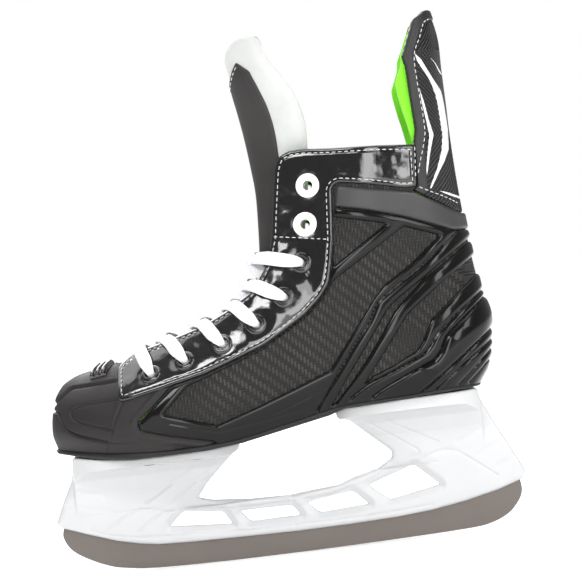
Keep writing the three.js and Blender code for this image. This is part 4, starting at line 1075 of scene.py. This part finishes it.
for k in range(8):
    white = k >= 6
    label = f"white_{k - 5}" if white else f"black_{k + 1}"
    profile = eyelet_profile(6.95, 1.5, 2.75, True) if white else eyelet_profile(6.2, 1.7, 2.9, False)
    for side, flip in (("left", 1), ("right", -1)):
        centre, normal = eyelet_p[k] * (1, flip, 1), eyelet_n[k] * (1, flip, 1)
        parts = [turned_ring(profile, centre, normal)]
        if not white:
            parts.append(turned_ring([(3.9 + 0.45 * math.cos(a), 2.25 + 0.45 * math.sin(a))
                                      for a in np.linspace(0, 2 * math.pi, 9)[:-1]], centre, normal))
        points, faces = joined(parts)
        piece(f"ring_{label}_{side}", leaned(points), faces, "enamel" if white else "gloss",
              slot="eyelet_white" if white else "eyelet_black", stands_for=[f"eyelet_{label}_{side}"],
              sharp=50)


# ------------------------------------------------------------------ tendon guard
GUARD_FRONT = GUARD_EDGE[2:14]
STRIPES = [
    [(-99.3, 274.5), (-102.5, 270.9), (-105, 265.6), (-108.3, 258.9), (-112.4, 252.1), (-113.3, 244.3),
     (-113.8, 229.8), (-112.7, 218.9), (-109, 212), (-104.6, 205.5), (-99.4, 197.2), (-98.6, 197.6),
     (-104.4, 208.5), (-108.3, 218.5), (-109.9, 227), (-109.3, 244.7), (-108.6, 250.3), (-106.4, 258.2),
     (-103.4, 264), (-100.5, 269.3)],
    [(-99.4, 255.6), (-99.8, 248), (-101.4, 233.5), (-102, 227.3), (-99.7, 217.6), (-97.5, 207),
     (-95.3, 201.4), (-93.5, 200.6), (-91.4, 201.3), (-91.1, 199.9), (-93.9, 198.9), (-95.8, 200),
     (-98.3, 206.5), (-100.9, 216.6), (-104.4, 227.6), (-102.7, 235.9), (-101.3, 246)],
    [(-108.1, 271.5), (-110.5, 268.8), (-112.7, 264.9), (-114.6, 261.5), (-113.3, 262.5), (-111.1, 267.3)],
    [(-103.6, 195.7), (-108.3, 194.5), (-112.1, 193), (-120, 190.6), (-120, 189.2), (-112, 191.6),
     (-108.2, 193.3)],
]
guard_patch = Patch(GUARD_NET, -3, 3, 0, 6, 0.012, 0.012)
LINING_EDGE = [(-100, 291), (-98.6, 288.5), (-95.4, 281), (-92.4, 275), (-92.1, 270), (-89.8, 264.1),
               (-87.7, 258.6), (-88.4, 252.3), (-89.4, 244.7), (-91.2, 235.4), (-92.9, 225), (-94, 206),
               (-130, 206), (-130, 291)]


def guard_pieces():
    s = guard_patch.kept(inside(guard_patch.xz, rounded(GUARD_EDGE, 1.5)))
    front = segment_distance(s.xz, GUARD_FRONT)
    slope = np.abs((s.p[:, 2] / 46) % 2 - 1) * 46
    flow = np.abs(s.uv[:, :1]) * 13 - slope[:, None]
    ridges = 0.2 * np.sin(flow[:, 0] * 2 * math.pi / RIDGE)
    high = -0.9 * (1 - bulge(s.edge, 1.6)) + ridges * smoothstep(front, 5.5, 7)
    yield "guard_shell", s.shell(high, -2.4), "guard", "guard_plastic", ["guard_base", "tendon_guard"], flow
    t = s.kept(np.minimum(s.edge + 0.001, 5.6 - front))
    width = np.maximum(np.minimum(t.edge, inside(t.xz, GUARD_EDGE)), 0)
    yield "guard_trim", t.shell(0.15 + 0.75 * bulge(width, 1.2) - 0.5 * (t.edge < 0.05), -0.3), "trim", \
        "guard_plastic", [], None
    for i, outline in enumerate(STRIPES):
        keep = inside(s.xz, rounded(outline, 1.0))
        keep = np.minimum(keep, s.edge - 0.4)
        t = s.kept(keep)
        shell = t.shell(0.2 + 0.25 * bulge(t.edge, 0.8), -0.2)
        yield f"guard_stripe_{i + 1}", shell, "stripe", "guard_plastic", [], None


for name, (points, faces), look, slot, stands_for, flow in guard_pieces():
    if flow is not None:
        flow = np.tile(flow, (2, 1))
    made = piece(name, points, faces, look, slot=slot, stands_for=stands_for, flow=flow, sharp=60,
                 ride=False)
    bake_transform(made)


def on_guard(line, lift):
    """Points and normals above side-view places on the outer half of the guard."""
    near = KDTree(len(guard_patch.p))
    for i in np.flatnonzero(guard_patch.n[:, 1] > 0):
        near.insert((guard_patch.p[i, 0], 0, guard_patch.p[i, 2]), int(i))
    near.balance()
    ids = [near.find((x, 0, z))[1] for x, z in line]
    mean = lambda v: np.convolve(np.pad(v, 4, "edge"), np.ones(9) / 9, "valid")
    smooth = lambda a: np.stack([mean(a[:, k]) for k in range(3)], 1)
    n = unit(smooth(guard_patch.n[ids]))
    return smooth(guard_patch.p[ids]) + n * lift, n


guard_seams = [
    [(-110.3, 293.7), (-106.3, 292.4), (-105.2, 288.9), (-102.9, 282.9), (-100.5, 278.2),
     (-98.7, 274.4), (-98.2, 268.1), (-98.6, 254.9), (-99.4, 239), (-99.3, 228.5), (-97.3, 221.2),
     (-94.4, 212.9), (-91.9, 204)],
    [(-91.5, 199.3), (-94.5, 197.7), (-100, 195), (-104.9, 192.6), (-109.4, 190.2), (-114.5, 187)],
]
parts = []
for line in guard_seams:
    p, n = on_guard(spaced(line, 0.6), 1.0)
    parts.append(stitches(p, n, 0.3))
points, faces = joined(parts)
both = joined([(points, faces), (mirrored(points), faces[:, ::-1])])
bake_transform(piece("guard_thread", *both, "thread", slot="guard_plastic", sharp=0, ride=False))

lining = Patch(GUARD_NET, -3.3, 3.3, 1.4, 5.7, 0.03, 0.03)
lining = lining.kept(inside(lining.xz, rounded(LINING_EDGE, 3)))
far = lining.edge
low = -4.1 - 1.3 * bulge(np.maximum(far, 0), 5)
high = -2.45 - 0.5 * (1 - bulge(far, 4))
points, faces = closed_shell(lining.tris, lining.raised(high), lining.raised(low))
green = piece("guard_padding", points, faces, "green", slot="green_lining", stands_for=["guard_lining"],
              ride=False)
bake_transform(green)


# ------------------------------------------------------------------ tongue
def tongue_point(s, f, depth=0.0):
    table = np.array(TONGUE, float)
    table = np.concatenate([2 * table[:1] - table[1:2], table, 2 * table[-1:] - table[-2:-1]])
    heading = unit(np.gradient(table[:, :2], axis=0))
    heading[-4:] = unit(np.array([[0.0, 1], [-0.06, 1], [-0.1, 1], [-0.1, 1]]))
    n = len(TONGUE) - 1
    i = np.clip(np.floor(s), 0, n - 1).astype(int)
    t = (s - i)[:, None]
    x, z, w, d = catmull(*(table[i + k] for k in range(4)), t).T
    tx, tz = unit(catmull(*(heading[i + k] for k in range(4)), t)).T
    back = depth + (d - 0.3 * depth) * f * f
    return np.stack([x - tz * back, (w - 0.9 * depth) * f, z + tx * back], 1)


def tongue_grid(s1, f1, step):
    ss = np.linspace(0, s1, int(s1 / step))
    fs = np.linspace(-f1, f1, int(2 * f1 / step / 0.45))
    s, f = (a.ravel() for a in np.meshgrid(ss, fs, indexing="ij"))
    return s, f, lattice(len(ss), len(fs))


s, f, tris = tongue_grid(15.7, 0.74, 0.06)


def cover_top(f):
    """How far up the tongue its cover reaches: rising to its corners, then falling away."""
    f = np.abs(f)
    return 14.5 + 1.2 * np.clip(f / 0.55, 0, 1) ** 1.3 - 6 * np.clip(f - 0.55, 0, 1) ** 1.2


keep = np.minimum((cover_top(f) - s) * 9, (0.72 - np.abs(f)) * 26)
tris, keep, s, f = cut(tris, keep, s, f)
rim = bulge(np.maximum(keep, 0), 1.0)
channel = 0.25 * hill(keep - 2.3, 0.6) * (s > 12.6)
points, faces = closed_shell(tris, tongue_point(s, f, 0.7 * (1 - rim) + channel), tongue_point(s, f, 1.5))
cover = piece("tongue_face", leaned(points), faces, "cover", slot="tongue_cover",
              stands_for=["tongue_cover_lower", "tongue_cover_upper"], sharp=60, ride=False)
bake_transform(cover)

fs = np.linspace(-0.6, 0.6, 200)
line_s = cover_top(fs) - 0.27
line = tongue_point(line_s, fs, -0.05)
ups = unit(tongue_point(line_s, fs, -1.0) - line)
thread = piece("tongue_thread", *stitches(leaned(line), ups, 0.3), "thread", slot="tongue_cover", sharp=0,
               ride=False)
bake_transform(thread)

FELT_FRONT, FELT_T = 1.55, 5.9
s, f, tris = tongue_grid(18.0, 1.0, 0.09)
to_side, to_top = (1 - np.abs(f)) * 24, (18.0 - s) * 7
corner = 2.0
edge = np.where((to_side < corner) & (to_top < corner),
                corner - np.hypot(corner - to_side, corner - to_top), np.minimum(to_side, to_top))
tris, edge, s, f = cut(tris, edge, s, f)
round_off = (1 - bulge(np.maximum(edge, 0), 3.6)) * FELT_T / 2
soft = 0.25 * np.sin(s * 2.3 + 3 * f) * np.sin(f * 5 + 1) + 0.15 * np.sin(s * 5.1 - f * 4)
front = FELT_FRONT * (1 - smoothstep(s, 15.0, 16.5))
points, faces = closed_shell(tris, tongue_point(s, f, front + round_off),
                             tongue_point(s, f, front + FELT_T - round_off + soft))
felt = piece("tongue_pad", leaned(points), faces, "felt", slot="tongue_felt",
             stands_for=["tongue_felt_lower", "tongue_felt_upper"], sharp=0, ride=False)
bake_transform(felt)


# ------------------------------------------------------------------ lining and footbed
s = Patch(BOOT_NET, -12.6, 12.6, 0, 6, 0.06, 0.05)
s = s.kept(inside(s.xz, rounded(LINER_EDGE, 2)))
lift = smoothstep(s.p[:, 2], 196, 208)
squeeze = 1 - bulge(s.edge, 2.6)
outer = -3.6 + 1.7 * lift - 1.2 * squeeze
inner = -6.5 - 0.5 * lift + 0.3 * np.sin(s.p[:, 2] / 7) * lift + 1.4 * squeeze
points, faces = closed_shell(s.tris, s.raised(outer), s.raised(inner))
liner = piece("liner_padding", leaned(points), faces, "green", slot="liner_fabric", stands_for=["liner"])


def sole_edge(us, inset):
    """Points inside the sole edge: u along it, set in by `inset` on the level."""
    p, n = on_net(BOOT_NET, us, np.zeros(len(us))), net_normal(BOOT_NET, us, np.zeros(len(us)))
    flat = unit(n * (1, 1, 0))
    out = p - flat * np.asarray(inset).reshape(-1, 1)
    out[:, 1] = np.maximum(out[:, 1], 0.15)
    return out


BED_FROM, BED_TO, BED_ALONG, BED_ACROSS = 0.5, 16.5, 90, 21    # net columns, and points each way
BED_INSET, BED_LOW = 9, 3.6     # inside the sole edge, and above it
us = np.linspace(BED_FROM, BED_TO, BED_ALONG)
rail = sole_edge(us, BED_INSET)
across = np.sin(np.linspace(-1, 1, BED_ACROSS) * math.pi / 2)
place = rail[:, None, :] * np.ones((1, BED_ACROSS, 1))
place[..., 1] = rail[:, None, 1] * across
rim = bulge(np.minimum((1 - np.abs(across))[None, :] * rail[:, 1:2],
                       np.minimum(us - BED_FROM, BED_TO - us)[:, None] * 12 + 0.3), 3.0)
top, bottom = place.copy(), place.copy()
top[..., 2] += 3.7 + 3.4 * rim + 1.2 * np.abs(across) ** 3 * rim
bottom[..., 2] += BED_LOW
points, faces = closed_shell(lattice(BED_ALONG, BED_ACROSS), top.reshape(-1, 3), bottom.reshape(-1, 3))
bed = piece("footbed_pad", leaned(points), faces, "bed", body="footbed", slot="footbed_foam",
            stands_for=["footbed"])

# ------------------------------------------------------------------ sole
SOLE_BOTTOM = [(-116, 82.9), (-75.3, 81.9), (-36.6, 80.4), (-27.3, 77.2), (0, 72.2), (22.9, 68), (44, 66.3),
               (85.9, 66.1), (106.7, 68.1), (124, 71.6), (133, 73)]
us = np.linspace(0.0, 18, 300)
sections = [(-0.2, 1.0, 0.8), (-0.9, 1.0, 0.35), (-1.35, 0.9, 0.0), (-1.4, 0.62, 0.0), (-1.05, 0.55, 0.0),
            (-1.0, 0.5, 0.0), (-1.05, 0.3, 0.0), (-0.5, 0.06, 0.0), (0.3, 0.0, 0.0), (3, 0.0, 0.0)]
low_z = np.interp(sole_edge(us, 0)[:, 0], *np.array(SOLE_BOTTOM).T)
base_z = sole_edge(us, 0)[:, 2]
rows = []
for inset, share, extra in sections:
    ring = sole_edge(us, inset)
    ring[:, 2] = low_z + (base_z - 1 - low_z) * share + extra
    rows.append(ring)
for share, top_row in ((0.0, True), (1.0, False)):
    ring = rows[-1].copy() if top_row else rows[0].copy()
    ring[:, 1] = 0
    rows.append(ring) if top_row else rows.insert(0, ring)
half = np.array(rows)
grid = np.concatenate([half, mirrored(half[1:-1][::-1])])
points, faces = tube(grid.transpose(1, 0, 2))
piece("sole_plate", leaned(points), faces, "sole", slot="sole_black", stands_for=["outsole"], sharp=50)


# ------------------------------------------------------------------ runner and holder
runner_line = np.concatenate([curve(RUNNER_EDGE, 1.5), np.array(RUNNER_TOP)])


def bevelled_slab(outline, half, bevel, step=0.0):
    """An outline swept to both sides of the middle plane, with bevelled long edges."""
    line = np.asarray(outline, float)
    if step:
        line = spaced(np.concatenate([line, line[:1]]), step)[:-1]
    inner = offset_line(np.concatenate([line[-3:], line, line[:3]]), bevel)[3:-3]
    if inside(inner[:1], line)[0] < 0:
        inner = offset_line(np.concatenate([line[-3:], line, line[:3]]), -bevel)[3:-3]
    rings = []
    for flat, y in ((inner, -half), (line, -half + bevel), (line, half - bevel), (inner, half)):
        rings.append(np.stack([flat[:, 0], np.full(len(flat), y), flat[:, 1]], 1))
    rings = np.array(rings)
    n = rings.shape[1]
    faces = []
    for i in range(3):
        for j in range(n):
            a, b = i * n + j, i * n + (j + 1) % n
            faces += [(a, b, b + n), (a, b + n, a + n)]
    caps = fill(inner)
    faces += [tuple(t) for t in caps] + [tuple(t[::-1] + 3 * n) for t in caps]
    return rings.reshape(-1, 3), np.array(faces)


def fill(outline):
    """Triangles over a flat outline."""
    got = tessellate_polygon([[Vector((x, z, 0)) for x, z in outline]])
    return [np.array(t) for t in got]


points, faces = bevelled_slab(runner_line, 1.5, 0.22)
signed = outward(points, faces)
piece("steel_runner", points, signed, "steel", slot="runner_steel", stands_for=["runner"], sharp=30)

WEB_HALF = 5.2      # half the thickness of the holder between its towers
WALL_HALF = 1.75    # the least half thickness, round the runner's slot
FLANGE_FROM = 14    # a half width beyond this belongs to the flange under the sole
holder_line = rounded(HOLDER, 1.6)
window_lines = [rounded(w, 2.2) for w in WINDOWS]
dense = lambda a, b, d: np.arange(a, b, d)
zs = np.unique(np.round(np.concatenate([
    dense(11.5, 60.6, 0.6), dense(60.6, 63.8, 0.11), dense(63.8, 74.2, 0.6), dense(74.2, 77.2, 0.11),
    dense(77.2, 83, 0.6)]), 3))
xs = np.arange(-136.2, 136.6, 0.6)
gx, gz = (a.ravel() for a in np.meshgrid(xs, zs, indexing="ij"))
q = np.stack([gx, gz], 1)
keep = inside(q, holder_line)
for w in window_lines:
    keep = np.minimum(keep, -inside(q, w))
tris, keep, q = cut(lattice(len(xs), len(zs)), keep, q)
x, z = q.T

WING = np.array([(-80, 4.3), (-70, 4.3), (-42, 4.7), (-28, 5.3), (-15, 7.2), (-7, 11.5), (-2, 19),
                 (0.4, 40)])
flange = np.where(x > 0, 62.6, 76.0)
width = np.interp(z - flange, *WING.T)
plan = []
for outline in FLANGE_PLAN:
    px, py = curve(outline, 1.5).T
    order = np.argsort(px)
    plan.append(np.interp(x, px[order], py[order], left=0, right=0))
plan = np.where(x > 0, plan[0], plan[1])
tower = z > np.where(x > 0, 36, 48)
half = np.where(tower, np.minimum(width, np.maximum(plan, WEB_HALF)), np.minimum(width, WEB_HALF))
window_d = np.min([-inside(q, w) for w in window_lines], axis=0)
outer_d = np.maximum(inside(q, holder_line), 0)
is_flange = width > FLANGE_FROM
half -= np.where(is_flange, 0, 2.0 * (1 - bulge(np.maximum(outer_d, 0), 3.2)) * np.clip(half / 5, 0, 1))
half -= 1.9 * (1 - smoothstep(window_d, 0.0, 4.6)) * (window_d < 6)
SCORES = [
    [(48.9, 59.0), (83.6, 38.6)], [(36.7, 59.8), (56.9, 45.5), (70.7, 36.2)],
    [(108.9, 25.0), (89.8, 35.6), (84.6, 35.6), (67.7, 32.4), (24.2, 29.4)], [(89.6, 22.7), (74.5, 32.9)],
    [(116.8, 26.8), (106.9, 22.9), (91.1, 19.6), (26.0, 16.2), (-31.3, 15.9), (-60.2, 16.9), (-79.5, 18.4)],
    [(-54.2, 71.9), (-87.2, 53.7)], [(-44.5, 72.5), (-77.4, 49.1), (-44.8, 36.7), (-22.1, 30.2),
                                     (24.2, 29.4)],
    [(-73.2, 43.0), (-84.2, 48.0), (-91.2, 48.9), (-97.9, 47.0), (-118.8, 30.6)],
]
RIBS = [
    [(123.1, 51.2), (106.4, 45.7)], [(128.1, 43.2), (115.4, 38.7), (104.0, 37.1)], [(116.2, 60.7),
                                                                                    (121.8, 52.2)],
    [(-119.4, 62.2), (-98.5, 52.1)], [(-125.0, 51.2), (-109.0, 43.3)], [(-131.2, 40.6), (-119.6, 35.7)],
]
score = np.min([segment_distance(q, rounded(line, 4, False)) for line in SCORES], axis=0)
rib = np.min([segment_distance(q, line) for line in RIBS], axis=0)
half -= (0.55 * hill(score, 0.6) + 0.5 * hill(rib, 1.5)) * ~is_flange


def beyond(a, b):
    """How far each point lies to the left of the line from a to b."""
    a, b = np.array(a), np.array(b)
    t = (b - a) / np.linalg.norm(b - a)
    return (q[:, 1] - a[1]) * t[0] - (q[:, 0] - a[0]) * t[1]


front_slope = np.clip(beyond((70.7, 36.2), (36.7, 59.8)), 0, 14) * (z > 33) * (x > 0)
rear_slope = np.clip(beyond((-44.5, 72.5), (-77.4, 49.1)), 0, 14) * (z > 42) * (x < 0)
half -= 0.16 * np.maximum(front_slope, rear_slope) * ~is_flange
half = np.maximum(half, WALL_HALF)
rim = np.maximum(np.minimum(outer_d, window_d), 0)
half -= np.where(is_flange, 0.8, 0.6) * (1 - bulge(rim, 0.9))
side = np.stack([x, half, z], 1)
points, faces = closed_shell(tris, side, mirrored(side))
piece("holder_body", points, faces, "holder", slot="holder_white", stands_for=["blade_holder"], sharp=45)

# ------------------------------------------------------------------ lace
LACE_W, LACE_T, HOLE_W = 7.8, 1.5, 4.4
OVER, UNDER = 2.4, -3.1
OVER_EDGE = [(74, 124.5), (57, 127.3), (36.5, 134.6), (17.5, 143.2), (5, 153.5), (-2.5, 168.5)]
UNDER_EDGE = [(66.5, 127), (46.5, 131.6), (27, 139.8), (12, 148.5), (2, 160.5)]
RISE = [5.2, 4.6, 4.8, 6.6, 8.6]


def stop(p, n, flip, lift, w=LACE_W):
    q = p + n * lift
    return np.array([q[0], q[1] * flip, q[2], n[0], n[1] * flip, n[2], w])


def located_stop(xz, flip, lift, w=LACE_W):
    p, n = on_boot([xz])
    return stop(p[0], n[0], flip, lift, w)


def lace_half(first):
    low = on_boot([OVER_EDGE[0]])[0][0]
    stops = [np.array([low[0], 0, low[2] + OVER, 0.3, 0, 0.95, LACE_W])]
    flip = first
    for k in range(6):
        hole = np.array(BLACK_EYELETS[k])
        over = np.array(OVER_EDGE[k])
        toward = unit((over - hole)[None])[0]
        stops.append(located_stop(over, flip, OVER + 1.6))
        stops.append(located_stop(hole * 0.55 + over * 0.45, flip, OVER + 1.2))
        stops.append(located_stop(hole + toward * 2.6, flip, OVER + 0.9, LACE_W * 0.8))
        stops.append(stop(eyelet_p[k], eyelet_n[k], flip, OVER - 1.4, HOLE_W))
        stops.append(stop(eyelet_p[k], eyelet_n[k], flip, -3.6, HOLE_W))
        if k == 5:
            break
        under = np.array(UNDER_EDGE[k])
        stops.append(located_stop((hole + under) / 2, flip, UNDER - 1.5))
        stops.append(located_stop(under, flip, UNDER - 1.7))
        a, b = located_stop(under, flip, UNDER), located_stop(OVER_EDGE[k + 1], -flip, OVER)
        up = unit(np.array([[a[3], 0, a[5]]]))[0]
        middle = (a[:3] + b[:3]) / 2 + up * (RISE[k] + 0.8 * flip)
        stops.append(np.array([*middle, *up, LACE_W]))
        flip = -flip
    return np.array(stops)


def ribbon(stops, step=0.7, thick=LACE_T, lean=True):
    """A flat soft strip through stops of place, upper direction and width."""
    path = curve(stops, step)
    run = np.concatenate([[0], np.cumsum(np.linalg.norm(np.diff(path[:, :3], axis=0), axis=1))])
    at = np.linspace(0, run[-1], int(run[-1] / step) + 1)
    path = np.stack([np.interp(at, run, path[:, k]) for k in range(7)], 1)
    p, up, w = path[:, :3], unit(path[:, 3:6]), path[:, 6]
    t = unit(np.gradient(p, axis=0))
    side = unit(np.cross(t, up))
    for _ in range(6):
        side[1:-1] = unit(side[:-2] + side[1:-1] * 2 + side[2:])
    up = np.cross(side, t)
    angles = np.arange(20) * 2 * math.pi / 20
    c, s = np.cos(angles), np.sin(angles)
    flat = np.sign(c) * np.abs(c) ** 0.75
    high = np.sign(s) * np.abs(s) ** 0.75
    rings, flow = [], []
    fold = np.clip((LACE_W - w) / (LACE_W - HOLE_W), 0, 1)
    for i in range(len(p)):
        y = flat * w[i] / 2
        h = high * thick / 2 * (1 + 0.8 * fold[i]) - 0.035 * w[i] * (flat**2)
        rings.append(p[i] + np.outer(y, side[i]) + np.outer(h, up[i]))
        flow.append(np.stack([np.full(20, at[i]), flat * LACE_W / 2], 1))
    points, faces = tube(rings)
    return (leaned(points) if lean else points), faces, np.concatenate(flow), p


right = lace_half(-1)
whole = np.concatenate([lace_half(1)[::-1], right[1:]])
points, faces, flow, _ = ribbon(whole)
piece("lacing", points, faces, "lace", slot="lace_white", stands_for=["lace"], flow=flow, sharp=0)

LACE_END = [(-24.5, 28.6, 160), (-31, 28.6, 152), (-38, 28.6, 142), (-44, 28.2, 131), (-49, 27.4, 119),
            (-54, 25.8, 109), (-61, 23.8, 101.5), (-70, 22.4, 99.5)]
COIL_X, COIL_RUN = -50.0, 33.0
COIL_FROM, COIL_TO, COIL_CLOSING = 0.12, 1.55, 2.85    # turns, and how much the radius shrinks a turn
OVER_BED = 4.3
TIP_X, TIP_Y, TIP_L = -42.0, 7.5, 20.0
bed_top = lambda x: np.interp(x, *leaned(rail)[np.argsort(rail[:, 0])][:, [0, 2]].T) + 7.3


def racetrack(turn, r):
    """Place on the coil after a share of a turn, from the middle of its near straight, rear end first."""
    straight, bend = 2 * COIL_RUN, math.pi * r
    run = (turn % 1.0) * (2 * straight + 2 * bend)
    if run < straight / 2:
        return COIL_X - run, r
    run -= straight / 2
    if run < bend:
        a = run / r
        return COIL_X - COIL_RUN - r * math.sin(a), r * math.cos(a)
    run -= bend
    if run < straight:
        return COIL_X - COIL_RUN + run, -r
    run -= straight
    if run < bend:
        a = run / r
        return COIL_X + COIL_RUN + r * math.sin(a), -r * math.cos(a)
    return COIL_X + COIL_RUN - (run - bend), r


def free_end(side, flip, radius):
    hole = stop(eyelet_p[5], eyelet_n[5], flip, -3.6, HOLE_W)
    start = leaned(hole[None, :3])[0]
    stops = [np.array([*start, 0, flip, 0, HOLE_W])]
    stops += [np.array([x, y * flip, z, 0, flip, 0, LACE_W]) for x, y, z in LACE_END]
    for t in np.linspace(COIL_FROM, COIL_TO, 70):
        r = radius - COIL_CLOSING * t
        x, y = racetrack(t, r)
        x2, y2 = racetrack(t + 0.004, r)
        out = unit(np.array([[(y2 - y), -(x2 - x), 0]]))[0] * (1, flip, 1)
        hop = (9.0 * (1 - smoothstep(t, COIL_FROM, 0.3)) if flip < 0
               else 2.0 * (1 - smoothstep(t, COIL_FROM, 0.2)))
        stops.append(np.array([x, y * flip, bed_top(x) + OVER_BED + hop, *out, LACE_W]))
    wide = (TIP_Y + radius - COIL_CLOSING * COIL_TO) / 2
    for a in np.linspace(-0.5, 0.5, 9) * math.pi:
        x, y = -26 + wide * math.cos(a), TIP_Y - wide + wide * math.sin(a)
        lift = OVER_BED + (8.3 if flip < 0 else 0) * (smoothstep(a, -1.6, -0.8) - smoothstep(a, 0.6, 1.9))
        w = LACE_W - 3 * smoothstep(a, 0.5, 1.6)
        stops.append(np.array([x, y * flip, bed_top(x) + lift, math.cos(a), math.sin(a) * flip, 0, w]))
    stops.append(np.array([-33, TIP_Y * flip, bed_top(-33) + 2.7, 0, flip, 0, 2.8]))
    points, faces, flow, path = ribbon(np.array(stops), 0.9, 1.15, lean=False)
    made = piece(f"lace_tail_{side}", points, faces, "lace", slot="lace_white", flow=flow, sharp=0,
                 ride=False, stands_for=[f"lace_end_{side}"] + (["lace_coil"] if flip > 0 else []))
    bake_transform(made)
    return made, path


def lace_tip(side, flip):
    n = 24
    rings = []
    for t, r in ((0, 0.7), (0.02, 1.15), (0.06, 1.3), (0.5, 1.35), (0.94, 1.3), (0.985, 1.1), (1, 0.6)):
        a = np.arange(n) * 2 * math.pi / n
        ring = np.zeros((n, 3))
        ring[:, 0] = TIP_X + TIP_L / 2 - TIP_L * t
        ring[:, 1] = TIP_Y * flip + r * np.cos(a) * 1.25
        ring[:, 2] = bed_top(TIP_X) + 2.6 + r * np.sin(a)
        rings.append(ring)
    points, faces = tube(rings)
    return piece(f"lace_sleeve_{side}", points, faces, "clear", body="footbed", slot="lace_tip",
                 stands_for=[f"lace_tip_{side}"], sharp=40)


for side, flip, radius in (("left", 1, 20.5), ("right", -1, 19.1)):
    tail, path = free_end(side, flip, radius)
    tip = lace_tip(side, flip)
    length = np.linalg.norm(np.diff(path, axis=0), axis=1).sum() * MM

# ------------------------------------------------------------------ CAD nodes that keep their shape
CAD_LOOKS = {"insole_board": "board", "heel_counter": "counter", "bolt_front": "fastener",
             "bolt_rear": "fastener", "nut_front": "fastener", "nut_rear": "fastener"}
for name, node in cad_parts.items():
    look = "rivet" if name.startswith("rivet_") else CAD_LOOKS.get(name)
    if look:
        node.data.materials.clear()
        node.data.materials.append(MATERIALS[look])

# ------------------------------------------------------------------ floor
bpy.ops.mesh.primitive_plane_add(size=1, location=(0, 0, -0.0002))
floor = bpy.context.object
floor.name = "floor"
floor.scale = (30, 30, 1)
paint = shader("floor_paint", (0.9, 0.9, 0.9), 0.7)
k = Nodes(paint)
k.colour(k.mix(k.noise(k.where(), 3.0), (0.89, 0.89, 0.89), (0.91, 0.91, 0.91)))
place = k.tree.nodes.new("ShaderNodeNewGeometry").outputs["Position"]
far = k.tree.nodes.new("ShaderNodeVectorMath")
far.operation = "LENGTH"
k.tree.links.new(place, far.inputs[0])
paint_light = paint.node_tree.nodes["Principled BSDF"]
paint_light.inputs["Emission Color"].default_value = (1, 1, 1, 1)
k.value(paint_light.inputs["Emission Strength"], k.ramp(far.outputs["Value"], 0.3, 0.9, 0.2, 1.1))
floor.data.materials.append(paint)

low, high = cad_box
